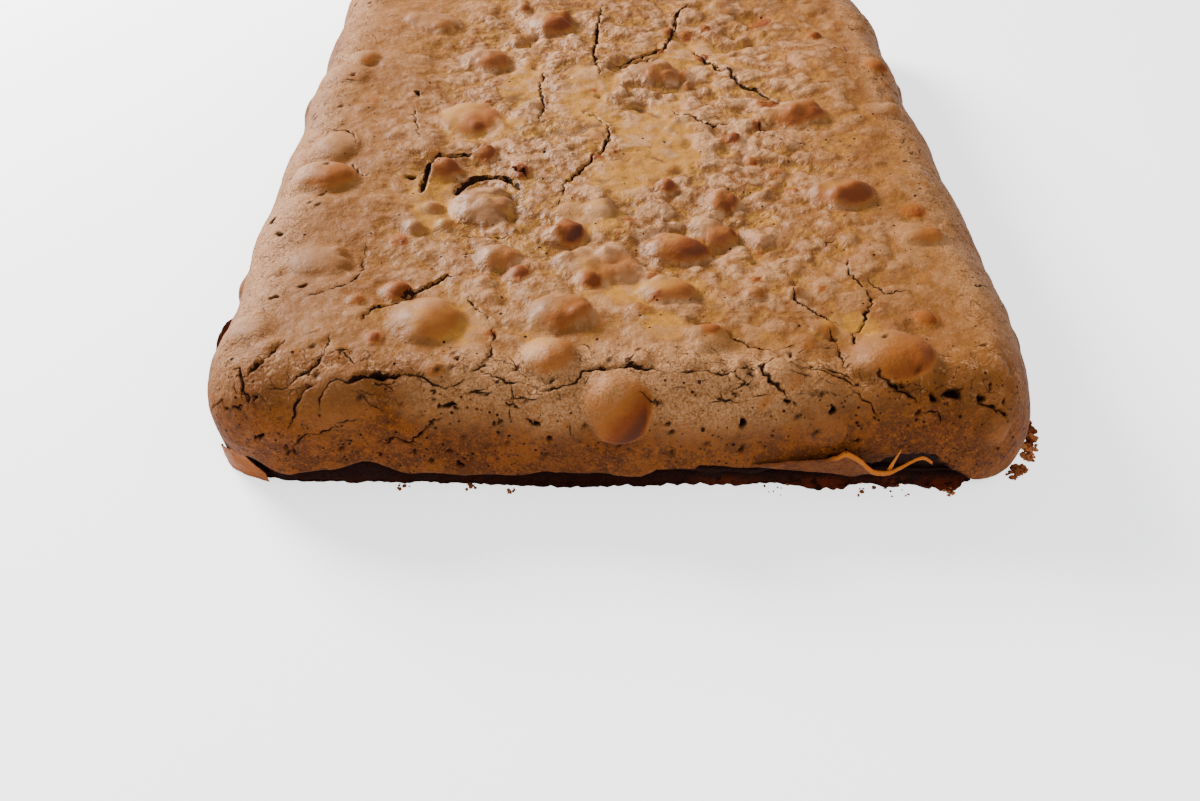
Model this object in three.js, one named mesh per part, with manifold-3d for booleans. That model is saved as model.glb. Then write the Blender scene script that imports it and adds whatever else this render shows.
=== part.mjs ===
// A whole tray of chocolate brownie, turned out of its tin and not yet cut: one solid slab whose
// baked skin has risen in blisters, cracked along the rim and peeled a little at the front.
// Millimetres, +Z up, resting on z = 0. +X runs along the front edge and +Y towards the back.
import * as THREE from "three";
import { mergeVertices } from "three/addons/utils/BufferGeometryUtils.js";
import Module from "manifold-3d";

const wasm = await Module();
wasm.setup();

// ---- driving dimensions ----
const WIDTH = 196; // across the front, for a tin 200 wide
const LENGTH = 246; // front to back, for a tin 250 long
const HEIGHT = 30; // from the rest surface to the top of the rim, before any blister
const CORNER_RADIUS = 22; // of the slab seen from above
const SHOULDER_RADIUS = 14; // where the top rolls over into a side
const LIP_HEIGHT = 4.2; // the lower edge of the skin above the rest surface
const LIP_RADIUS = 1.3; // half the thickness of that edge
const OVERHANG = 2.8; // how far the skin hangs out over the dark foot
const MIDDLE_SAG = 1.6; // the middle sinks this much as the slab cools
const SAG_WIDTH = 42; // from the rim to where the sag is complete
const SWELL_HEIGHT = 1.1; // the slow waves of the skin, up and down
const SWELL_LENGTHS = [78, 57, 41, 33, 26, 19]; // wavelengths, long to short
const SWELL_TURN = 2.4; // the golden angle, from one wave to the next
const SWELL_SHIFT = 1.7; // phase from one wave to the next
const SWELL_CLIMB = 0.8; // how fast the waves run on down the sides, as a share of the level rate
const CELL = 4.2; // spacing of the surface grid over the flat middle

// ---- blisters: [across, along, half width, half depth, rise], measured over the skin ----
const BLISTERS = [
  [-1, -123, 8.8, 8.4, 4.4],
  [63, -109, 10.5, 8.6, 3.9],
  [-17, -109, 6.8, 6.8, 3.3],
  [-14, -93, 8, 7.2, 3],
  [-46, -96, 8.8, 8.8, 2.7],
  [-64, -121, 10, 8, 1.6],
  [36, -115, 5.8, 5.4, 2],
  [12, -84, 8, 5.8, 3],
  [-5, -72, 12, 8.6, 2.6],
  [16, -64, 9.8, 7, 4],
  [26, -56, 6.8, 5.8, 2.8],
  [-31, -69, 6.2, 5.6, 2.8],
  [-76, -73, 9, 7, 1.4],
  [80, -59, 6.6, 5.4, 2.1],
  [-13, -58, 4.8, 5.2, 3.6],
  [-36, -43.5, 9.2, 9, 3.5],
  [63, -40, 9.6, 7, 3.7],
  [29, -41, 5.6, 4.8, 2.7],
  [-81, -34, 10, 7.6, 3.2],
  [-80, -16, 6.8, 8.4, 2],
  [-44, 5, 10.6, 10.4, 2.8],
  [56, 7, 11.4, 7, 3.2],
  [84, 9, 6.8, 5.8, 1.6],
  [-86, 30, 10, 8, 1.5],
  [16, 36, 11.6, 7, 3.4],
  [-81, 41, 5.4, 5.4, 2],
  [-41, 47, 8.8, 7.8, 2.9],
  [-61, 72, 9.6, 8.4, 2],
  [-20, 73, 8.6, 7.4, 3.9],
  [52, 78, 7, 5.8, -1.6],
];
const SPARE_BLISTERS = 24; // more of them over the sides and the back, placed by rule
const SPARE_SIZE = { least: 5.4, most: 10.5 }; // half width
const SPARE_RISE = { least: 0.2, most: 0.36, onSide: 0.6 }; // as a share of the size, lower on a side
const SPARE_DEPTH = 0.85; // half depth at the back, as a share of the half width
const SPARE_SEED = 11;
const NAMED_BACK = 84; // the named blisters end here, and the spare ones take over
const CAP_POWER = 0.8; // how steep a blister is at its rim: 0.5 for a ball, 1 for a shallow bowl
const MOAT = { depth: 0.16, at: 1.1, width: 0.3 }; // the dip round a blister, against its rise and size
const BLISTER_REACH = 2; // past this many half widths a blister has no effect

// ---- cracks: waypoints [across, along] over the skin, with a half width and a depth ----
const CRACKS = [
  { half: 0.8, depth: 3.2, way: [[-61, -95], [-53, -88], [-44, -80], [-36, -76]] },
  { half: 0.9, depth: 3.4, way: [[-68, -114], [-61, -116], [-52, -114], [-43, -118], [-33, -117]] },
  { half: 0.7, depth: 2.8, way: [[-26, -117], [-15, -119], [-5, -113], [8, -112], [20, -113], [31, -111]] },
  { half: 0.7, depth: 2.8, way: [[17, -99], [27, -104], [37, -107], [44, -113], [54, -116]] },
  { half: 0.9, depth: 3.2, way: [[62, -118], [69, -120], [76, -119], [83, -122]] },
  { half: 0.7, depth: 2.6, way: [[48, -73], [52, -85], [51, -96], [46, -104]] },
  { half: 1.1, depth: 4.0, way: [[-44, -33], [-38, -28], [-31, -28], [-27, -34]] },
  { half: 0.9, depth: 3.2, way: [[-56, -36], [-52, -22], [-46, -17], [-36, -14]] },
  { half: 0.8, depth: 3.0, way: [[-9, 84], [-9, 63], [-6, 43], [-4, 33]] },
  { half: 0.8, depth: 2.8, way: [[-3, 7], [0, -5], [-8, -22], [-15, -38]] },
  { half: 0.8, depth: 3.0, way: [[16, 85], [18, 66], [31, 48], [47, 26]] },
  { half: 0.7, depth: 2.6, way: [[17, 14], [26, 7], [33, 1]] },
];
const CRACK_STEP = 3.4; // spacing of a crack's sections
const CRACK_WANDER = 0.9; // how far it strays from the straight way between waypoints
const WANDER_TURNS = { step: 2.3, leg: 1.9 }; // phase of that stray from step to step and leg to leg
const CRACK_END = 0.25; // width and depth at its ends, as a share of the middle's
const BLADE_CLEAR = 3; // how far a crack's cutter stands clear of the skin

// ---- the skin's lower edge and the dark foot under it ----
const LIP_WAVES = [
  { rise: 0.4, x: 0.21, y: 0.17 },
  { rise: 0.3, x: 0.47, y: -0.39 },
];
const FOOT_WAVES = [
  { rise: 0.45, x: 0.19, y: 0.23 },
  { rise: 0.3, x: 0.61, y: -0.53 },
];
const ARCH = { across: -60, half: 10, rise: 4.6 }; // where the lower edge lifts off the foot
const SPLIT = { x: -87, y: -120, half: 5.2, rise: 4.4 }; // where it has torn upwards at a corner
const DROOP = { x: 92, y: -116, half: 13, rise: -2.6 }; // where it hangs nearly to the rest surface
const LOWER_HOLD = 0.4; // swell and blisters left at the lower edge, as a share of those above

// Where the sides stand out fuller than the even section: the middle, half sizes and how far.
const FULLER = [
  { x: -93, y: -116, z: 15, halves: [15, 15, 12], out: 2.2 },
  { x: 93, y: -116, z: 9, halves: [15, 15, 9], out: 3 },
  { x: -96, y: -25, z: 22, halves: [12, 52, 14], out: 1.1 },
  { x: 96, y: -58, z: 22, halves: [12, 30, 14], out: 2 },
  { x: -94, y: 88, z: 22, halves: [14, 28, 14], out: 1.4 },
];

// ---- the strip of skin that has peeled from the lower front ----
const FLAKE = { from: 18, to: 72, foot: 1.2, sides: 16 }; // its two ends and lower edge
const FLAKE_STAND = { ends: 0.8, middle: 2.4 }; // how far it stands off the side
const FLAKE_ROOT = OVERHANG + 1; // how far it is let into the side
const FLAKE_EDGE = LIP_HEIGHT + 0.8; // height of its free edge away from the crest and the curl
const CREST = { at: 0.6, rise: 9, before: 0.21, after: 0.12 }; // shares of the strip's length
const CURL = { from: 0.7, to: 0.95, rise: 7.4 }; // where the edge climbs again to the end

const MERGE_GAP = 1e-4; // corners closer than this are one

// The section from the edge of the flat core outwards: top, shoulder, side, lip and foot.
function sideSection() {
  const outer = CORNER_RADIUS;
  const flat = outer - SHOULDER_RADIUS;
  const section = new THREE.Path();
  section.moveTo(0, HEIGHT);
  section.lineTo(flat, HEIGHT);
  section.absarc(flat, HEIGHT - SHOULDER_RADIUS, SHOULDER_RADIUS, Math.PI / 2, 0, true);
  section.lineTo(outer, LIP_HEIGHT + LIP_RADIUS);
  section.absarc(outer - LIP_RADIUS, LIP_HEIGHT + LIP_RADIUS, LIP_RADIUS, 0, -Math.PI / 2, true);
  section.lineTo(outer - OVERHANG, LIP_HEIGHT);
  section.lineTo(outer - OVERHANG, 0);
  return section;
}

const SECTION = sideSection();
const [TOP_RUN, ROLL_RUN, SIDE_RUN, LIP_RUN, UNDER_RUN, FOOT_RUN] = SECTION.curves
  .filter((piece) => piece.getLength() > 0)
  .map((piece) => piece.getLength());
const SKIRT = TOP_RUN + ROLL_RUN + SIDE_RUN; // the core's edge to the bottom of the side
const SECTION_LENGTH = SECTION.getLength();
const CORE_X = WIDTH / 2 - CORNER_RADIUS;
const CORE_Y = LENGTH / 2 - CORNER_RADIUS;

// The smooth skin at a place measured over it, as a cloth laid on the slab would be measured.
function drape(across, along) {
  const coreX = THREE.MathUtils.clamp(across, -CORE_X, CORE_X);
  const coreY = THREE.MathUtils.clamp(along, -CORE_Y, CORE_Y);
  const away = new THREE.Vector2(across - coreX, along - coreY);
  const run = Math.max(Math.abs(away.x), Math.abs(away.y));
  away.normalize();
  const share = Math.min(run / SECTION_LENGTH, 1);
  const place = SECTION.getPoint(share);
  const tangent = SECTION.getTangent(share);
  return {
    run,
    away,
    point: new THREE.Vector3(coreX + place.x * away.x, coreY + place.x * away.y, place.y),
    normal: new THREE.Vector3(-tangent.y * away.x, -tangent.y * away.y, tangent.x).normalize(),
  };
}

// A repeatable run of numbers from 0 to 1.
function seededRandom(seed) {
  let state = seed;
  return () => {
    state = (Math.imul(state, 1664525) + 1013904223) >>> 0;
    return state / 4294967296;
  };
}

// Blisters for the sides and the back, in a band that the named ones leave free.
function spareBlisters() {
  const next = seededRandom(SPARE_SEED);
  const sideReach = CORE_X + TOP_RUN + ROLL_RUN;
  const backReach = CORE_Y + TOP_RUN + ROLL_RUN;
  return Array.from({ length: SPARE_BLISTERS }, (unused, index) => {
    const size = SPARE_SIZE.least + (SPARE_SIZE.most - SPARE_SIZE.least) * next() ** 2;
    const rise = size * (SPARE_RISE.least + (SPARE_RISE.most - SPARE_RISE.least) * next());
    const spread = 2 * next() - 1;
    const deep = next();
    const onSide = index % 3 === 0;
    if (onSide) {
      const low = rise * SPARE_RISE.onSide;
      return [Math.sign(spread) * sideReach, (2 * deep - 1) * CORE_Y, size, size, low];
    }
    const along = NAMED_BACK + deep * (backReach - NAMED_BACK);
    return [spread * CORE_X, along, size, size * SPARE_DEPTH, rise];
  });
}

const DOMES = [...BLISTERS, ...spareBlisters()].map(([across, along, wide, deep, rise]) => ({
  centre: drape(across, along).point,
  wide,
  deep,
  rise,
}));

// Slow waves, each turned from the last by the golden angle so that no pattern repeats.
function swell(point) {
  return SWELL_LENGTHS.reduce((sum, length, index) => {
    const turn = index * SWELL_TURN;
    const level = point.x * Math.cos(turn) + point.y * Math.sin(turn);
    const phase = (2 * Math.PI * (level + SWELL_CLIMB * point.z)) / length + SWELL_SHIFT * index;
    return sum + SWELL_HEIGHT * (length / SWELL_LENGTHS[0]) * Math.sin(phase);
  }, 0) / 2;
}

// How far the blisters push the skin out at a point of it.
function blistering(point) {
  return DOMES.reduce((sum, { centre, wide, deep, rise }) => {
    const x = (point.x - centre.x) / wide;
    const y = (point.y - centre.y) / deep;
    const z = (point.z - centre.z) / Math.min(wide, deep);
    const away = Math.hypot(x, y, z);
    if (away > BLISTER_REACH) return sum;
    const cap = away < 1 ? rise * (1 - away * away) ** CAP_POWER : 0;
    const moat = rise * MOAT.depth * Math.exp(-(((away - MOAT.at) / MOAT.width) ** 2));
    return sum + cap - moat;
  }, 0);
}

// A sum of level waves at a point of the outline.
function ripple(waves, point) {
  return waves.reduce((sum, { rise, x, y }) => sum + rise * Math.sin(point.x * x + point.y * y), 0);
}

// How far the lower edge of the skin lifts at a point of the outline.
function lipLift(point) {
  const onFront = point.y < -CORE_Y ? 1 : 0;
  const arch = onFront * ARCH.rise * Math.exp(-2 * ((point.x - ARCH.across) / ARCH.half) ** 2);
  return [SPLIT, DROOP].reduce((sum, { x, y, half, rise }) => {
    const away = Math.hypot(point.x - x, point.y - y) / half;
    return sum + rise * Math.exp(-(away ** 2));
  }, ripple(LIP_WAVES, point) + arch);
}

// How far the side stands out beyond the even section at a point.
function fullness(point) {
  return FULLER.reduce((sum, { x, y, z, halves, out }) => {
    const away = Math.hypot((point.x - x) / halves[0], (point.y - y) / halves[1], (point.z - z) / halves[2]);
    return sum + out * Math.exp(-(away ** 2));
  }, 0);
}

// The dark foot, set back under the skin, straying a little in and out.
function footPoint(point, away) {
  const stray = ripple(FOOT_WAVES, point);
  const climb = point.z / LIP_HEIGHT;
  const onRest = climb < MERGE_GAP;
  const level = onRest ? 0 : point.z + lipLift(point) * climb;
  return new THREE.Vector3(point.x + stray * away.x, point.y + stray * away.y, level);
}

// The finished surface at a place measured over the skin.
function skin(across, along) {
  const { run, away, point, normal } = drape(across, along);
  if (run > SKIRT + LIP_RUN + UNDER_RUN / 2) return footPoint(point, away);
  const { smoothstep } = THREE.MathUtils;
  const inward = run > 0 ? 0 : Math.min(CORE_X - Math.abs(across), CORE_Y - Math.abs(along));
  const sag = MIDDLE_SAG * smoothstep(inward, 0, SAG_WIDTH);
  const lowered = smoothstep(run, SKIRT - SIDE_RUN, SKIRT + LIP_RUN);
  const hold = 1 - (1 - LOWER_HOLD) * lowered;
  const raised = point.clone().addScaledVector(normal, hold * (swell(point) + blistering(point)) - sag);
  const wider = fullness(point);
  raised.x += away.x * wider;
  raised.y += away.y * wider;
  raised.z += lipLift(point) * smoothstep(run, SKIRT - SIDE_RUN, SKIRT);
  return raised;
}

// Grid lines over the skin from one foot to the other, closer where the section bends.
function gridLines(core) {
  const cells = Math.round((2 * core) / CELL);
  const middle = Array.from({ length: cells + 1 }, (unused, index) => -core + (2 * core * index) / cells);
  const steps = [
    [TOP_RUN, 2],
    [ROLL_RUN, 5],
    [SIDE_RUN, 2],
    [LIP_RUN, 1],
    [UNDER_RUN, 1],
    [FOOT_RUN, 1],
  ];
  const outer = [];
  let start = 0;
  for (const [length, count] of steps) {
    for (let step = 1; step <= count; step += 1) outer.push(start + (length * step) / count);
    start += length;
  }
  return [...outer.map((run) => -core - run).reverse(), ...middle, ...outer.map((run) => core + run)];
}

// The slab as one closed surface: a draped plane, with a flat fan closing it underneath.
function slabGeometry() {
  const acrossLines = gridLines(CORE_X);
  const alongLines = gridLines(CORE_Y);
  const columns = acrossLines.length;
  const rows = alongLines.length;
  const sheet = new THREE.PlaneGeometry(1, 1, columns - 1, rows - 1);
  const places = sheet.getAttribute("position");
  for (let row = 0; row < rows; row += 1) {
    for (let column = 0; column < columns; column += 1) {
      const place = skin(acrossLines[column], alongLines[rows - 1 - row]);
      places.setXYZ(row * columns + column, place.x, place.y, place.z);
    }
  }
  const rim = [];
  for (let column = 0; column < columns - 1; column += 1) rim.push(column);
  for (let row = 0; row < rows - 1; row += 1) rim.push(row * columns + columns - 1);
  for (let column = columns - 1; column > 0; column -= 1) rim.push((rows - 1) * columns + column);
  for (let row = rows - 1; row > 0; row -= 1) rim.push(row * columns);
  const hub = places.count;
  const corners = [...places.array, 0, 0, 0];
  const faces = [...sheet.index.array];
  rim.forEach((vertex, index) => faces.push(vertex, rim[(index + 1) % rim.length], hub));
  return indexedGeometry(corners, faces);
}

function indexedGeometry(corners, faces) {
  const geometry = new THREE.BufferGeometry();
  geometry.setAttribute("position", new THREE.BufferAttribute(new Float32Array(corners), 3));
  geometry.setIndex(faces);
  return geometry;
}

// The places that a crack passes, wandering off the straight way between its waypoints.
function crackCourse({ way }, index) {
  const course = [];
  way.slice(1).forEach((end, leg) => {
    const from = new THREE.Vector2(...way[leg]);
    const to = new THREE.Vector2(...end);
    const steps = Math.max(2, Math.round(from.distanceTo(to) / CRACK_STEP));
    const across = new THREE.Vector2(from.y - to.y, to.x - from.x).normalize();
    for (let step = leg ? 1 : 0; step <= steps; step += 1) {
      const share = step / steps;
      const fade = Math.sin(Math.PI * share);
      const phase = step * WANDER_TURNS.step + leg * WANDER_TURNS.leg + index;
      const stray = CRACK_WANDER * fade * Math.sin(phase);
      course.push(from.clone().lerp(to, share).addScaledVector(across, stray));
    }
  });
  return course;
}

// A crack's cutter: a three-sided blade along its course, thin and shallow at both ends.
function crackBlade(crack, index) {
  const course = crackCourse(crack, index);
  const last = course.length - 1;
  const corners = [];
  const faces = [];
  course.forEach((place, step) => {
    const { normal } = drape(place.x, place.y);
    const here = skin(place.x, place.y);
    const before = course[Math.max(step - 1, 0)];
    const after = course[Math.min(step + 1, last)];
    const forward = skin(after.x, after.y).sub(skin(before.x, before.y)).normalize();
    const side = new THREE.Vector3().crossVectors(normal, forward).normalize();
    const middle = Math.sin((Math.PI * (step + 0.5)) / (last + 1));
    const open = CRACK_END + (1 - CRACK_END) * middle;
    const spread = crack.half * open * (1 + BLADE_CLEAR / crack.depth);
    const top = here.clone().addScaledVector(normal, BLADE_CLEAR);
    corners.push(...top.clone().addScaledVector(side, spread).toArray());
    corners.push(...top.clone().addScaledVector(side, -spread).toArray());
    corners.push(...here.clone().addScaledVector(normal, -crack.depth * open).toArray());
    if (step === last) return;
    const near = step * 3;
    for (let edge = 0; edge < 3; edge += 1) {
      const a = near + edge;
      const b = near + ((edge + 1) % 3);
      faces.push(a, b, a + 3, b, b + 3, a + 3);
    }
  });
  const end = last * 3;
  faces.push(0, 2, 1, end, end + 1, end + 2);
  return indexedGeometry(corners, faces);
}

// The height of the peeled strip's free edge: it climbs to a crest, falls away and curls up at its end.
function flakeEdge(share) {
  const width = share < CREST.at ? CREST.before : CREST.after;
  const crest = CREST.rise * Math.exp(-(((share - CREST.at) / width) ** 2));
  return FLAKE_EDGE + crest + CURL.rise * THREE.MathUtils.smoothstep(share, CURL.from, CURL.to);
}

// The peeled strip, as a bowed wall fused to the side.
function flakeGeometry() {
  const strip = new THREE.BoxGeometry(1, 1, 1, FLAKE.sides, 1, 1);
  const places = strip.getAttribute("position");
  for (let index = 0; index < places.count; index += 1) {
    const share = places.getX(index) + 0.5;
    const outside = places.getY(index) < 0;
    const high = places.getZ(index) > 0;
    const bow = THREE.MathUtils.lerp(FLAKE_STAND.ends, FLAKE_STAND.middle, Math.sin(Math.PI * share));
    const x = THREE.MathUtils.lerp(FLAKE.from, FLAKE.to, share);
    const y = -LENGTH / 2 + (outside ? -bow : FLAKE_ROOT);
    places.setXYZ(index, x, y, high ? flakeEdge(share) : FLAKE.foot);
  }
  return strip;
}

// A closed geometry as a manifold-3d solid, and back.
function solidOf(geometry) {
  const bare = geometry.clone();
  bare.deleteAttribute("normal");
  bare.deleteAttribute("uv");
  const merged = mergeVertices(bare, MERGE_GAP);
  return new wasm.Manifold(
    new wasm.Mesh({
      numProp: 3,
      vertProperties: merged.getAttribute("position").array,
      triVerts: new Uint32Array(merged.index.array),
    }),
  );
}

function geometryOf(solid) {
  const { vertProperties, triVerts } = solid.getMesh();
  const geometry = indexedGeometry(vertProperties, Array.from(triVerts));
  geometry.computeVertexNormals();
  return geometry;
}

function brownie() {
  let solid = solidOf(slabGeometry());
  solid = solid.add(solidOf(flakeGeometry()));
  CRACKS.forEach((crack, index) => {
    solid = solid.subtract(solidOf(crackBlade(crack, index)));
  });
  const bakedSkin = new THREE.MeshStandardMaterial({ color: 0xa97850, roughness: 0.72, metalness: 0 });
  const mesh = new THREE.Mesh(geometryOf(solid), bakedSkin);
  mesh.name = "brownie";
  return mesh;
}

const tray = new THREE.Group();
tray.add(brownie());

export default tray;
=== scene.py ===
import math

import bmesh
import bpy
import numpy as np
from mathutils import Color, Matrix, Vector, noise


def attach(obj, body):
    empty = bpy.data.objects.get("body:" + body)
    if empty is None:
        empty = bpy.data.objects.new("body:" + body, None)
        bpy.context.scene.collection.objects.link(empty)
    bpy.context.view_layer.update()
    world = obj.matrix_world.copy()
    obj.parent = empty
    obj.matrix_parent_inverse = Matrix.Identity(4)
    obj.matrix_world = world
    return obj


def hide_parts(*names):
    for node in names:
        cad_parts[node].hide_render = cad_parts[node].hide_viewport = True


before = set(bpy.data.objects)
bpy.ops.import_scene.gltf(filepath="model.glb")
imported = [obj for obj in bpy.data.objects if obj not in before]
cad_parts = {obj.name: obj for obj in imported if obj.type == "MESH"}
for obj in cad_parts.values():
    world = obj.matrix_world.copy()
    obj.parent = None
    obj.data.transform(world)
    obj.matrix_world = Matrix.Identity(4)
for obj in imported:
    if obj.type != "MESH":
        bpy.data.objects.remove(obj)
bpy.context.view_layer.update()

bl_info = {
    "name": "Chocolate Brownie Slab",
    "version": (1, 0, 0),
    "blender": (4, 5, 0),
    "location": "3D View > Sidebar > Brownie",
    "description": "Builds an uncut chocolate brownie slab with a blistered and cracked baked skin",
    "category": "Object",
}

MM = 0.001

# ---- the slab's section, in millimetres, as the solid has it ----
WIDTH, LENGTH, HEIGHT = 196.0, 246.0, 30.0
CORNER_RADIUS, SHOULDER_RADIUS = 22.0, 14.0
LIP_HEIGHT, LIP_RADIUS, OVERHANG = 4.2, 1.3, 2.8
MIDDLE_SAG, SAG_WIDTH = 1.6, 42.0
SWELL_HEIGHT = 1.1
SWELL_LENGTHS = (78, 57, 41, 33, 26, 19)
MOAT_DEPTH = 0.16
NAMED_BACK = 84.0
ARCH_ACROSS, ARCH_HALF, ARCH_RISE = -60.0, 10.0, 4.6
DROOP_PLACE, DROOP_HALF, DROOP_FALL = (92.0, -116.0), 13.0, 2.6
SPLIT_PLACE, SPLIT_HALF, SPLIT_RISE = (-87.0, -120.0), 5.2, 4.4
# Where the sides stand out fuller than the even section: the middle, half sizes and how far.
FULLER = (
    ((-93, -116, 15), (15, 15, 12), 2.2),
    ((93, -116, 9), (15, 15, 9), 3),
    ((-96, -25, 22), (12, 52, 14), 1.1),
    ((96, -58, 22), (12, 30, 14), 2.0),
    ((-94, 88, 22), (14, 28, 14), 1.4),
)

TOP_RUN = CORNER_RADIUS - SHOULDER_RADIUS
ROLL_RUN = SHOULDER_RADIUS * math.pi / 2
SIDE_RUN = HEIGHT - SHOULDER_RADIUS - LIP_HEIGHT - LIP_RADIUS
LIP_RUN = LIP_RADIUS * math.pi / 2
UNDER_RUN = OVERHANG - LIP_RADIUS
FOOT_RUN = LIP_HEIGHT
ROLL_END = TOP_RUN + ROLL_RUN
SKIRT = ROLL_END + SIDE_RUN
LIP_END = SKIRT + LIP_RUN
UNDER_END = LIP_END + UNDER_RUN
CORE_X = WIDTH / 2 - CORNER_RADIUS
CORE_Y = LENGTH / 2 - CORNER_RADIUS

# ---- blisters over the skin: across, along, half width, half depth, rise, toast ----
BLISTERS = (
    (-1, -123, 8.8, 8.4, 4.4, 0.97),
    (63, -109, 10.5, 8.6, 3.9, 0.7),
    (-17, -109, 6.8, 6.8, 3.3, 0.5),
    (-14, -93, 8, 7.2, 3, 0.65),
    (-46, -96, 8.8, 8.8, 2.7, 0.5),
    (-64, -121, 10, 8, 1.6, 0.15),
    (36, -115, 5.8, 5.4, 2, 0.35),
    (12, -84, 8, 5.8, 3, 0.6),
    (-5, -72, 12, 8.6, 2.6, 0.4),
    (16, -64, 9.8, 7, 4, 0.9),
    (26, -56, 6.8, 5.8, 2.8, 0.6),
    (-31, -69, 6.2, 5.6, 2.8, 0.5),
    (-76, -73, 9, 7, 1.4, 0.1),
    (80, -59, 6.6, 5.4, 2.1, 0.5),
    (-13, -58, 4.8, 5.2, 3.6, 1.0),
    (-36, -43.5, 9.2, 9, 3.5, 0.25),
    (63, -40, 9.6, 7, 3.7, 0.85),
    (29, -41, 5.6, 4.8, 2.7, 0.85),
    (-81, -34, 10, 7.6, 3.2, 0.6),
    (-80, -16, 6.8, 8.4, 2, 0.15),
    (-44, 5, 10.6, 10.4, 2.8, 0.6),
    (56, 7, 11.4, 7, 3.2, 0.75),
    (84, 9, 6.8, 5.8, 1.6, 0.3),
    (-86, 30, 10, 8, 1.5, 0.2),
    (16, 36, 11.6, 7, 3.4, 0.55),
    (-81, 41, 5.4, 5.4, 2, 0.4),
    (-41, 47, 8.8, 7.8, 2.9, 0.6),
    (-61, 72, 9.6, 8.4, 2, 0.3),
    (-20, 73, 8.6, 7.4, 3.9, 0.85),
    (52, 78, 7, 5.8, -1.6, 0.9),
)
# Smaller ones: across, along, radius, rise, toast.
PIMPLES = (
    (-31, 85, 2.9, 1.6, 0.7),
    (-48.5, -25.5, 4.9, 2.7, 0.86),
    (-38, -16.5, 4.0, 2.4, 0.84),
    (-27.5, -26, 3.4, 1.9, 0.84),
    (-50, -44, 2.7, 1.5, 0.4),
    (-54, -55.5, 3.2, 1.7, 0.3),
    (-46, -53, 2.9, 1.5, 0.5),
    (-26, -77, 3.5, 1.9, 0.9),
    (-55, -84, 4.2, 2.6, 0.84),
    (35, -6.5, 3.3, 1.2, 0.9),
    (14, -33.5, 3.4, 1.7, 0.8),
    (88, 40, 4.7, 1.8, 0.8),
    (-43, -113, 2.9, 1.3, 0.5),
    (-64, -89, 2.4, 1.2, 0.6),
    (-58, -103, 2.3, 1.1, 0.9),
    (-20.5, -121.5, 2.5, 0.9, 0.3),
    (3.6, -110, 3.7, 1.0, 0.2),
    (33, -85, 3.0, 1.4, 0.6),
    (31, -120, 3.2, 1.2, 0.4),
    (87, -128, 4.6, 1.2, 0.3),
    (88, -115, 3.4, 1.0, 0.2),
    (-4, -46, 4.6, 1.9, 0.0),
    (46, -24, 2.8, 1.2, 0.6),
    (48, -98, 3.2, 1.1, 0.5),
    (43, -84, 2.6, 1.1, 0.5),
    (46, -128, 6.5, 1.4, 0.2),
    (-88, -100, 6.5, 1.2, 0.1),
    (20, -103, 5.5, 1.1, 0.2),
    (-6, -94, 3.0, 1.3, 0.3),
)
SPARE_BLISTERS, SPARE_SEED = 24, 11
SPARE_LEAST, SPARE_MOST = 5.4, 10.5
PEBBLES, PEBBLE_SEED = 340, 23
# The way that the far side of a blister faces, away from the window light, where its toasting is laid with
# painted shade, by its shares of x, y and z.
SHADED_SIDE_WAY = np.array([0.62, -0.5, -0.35])

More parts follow.
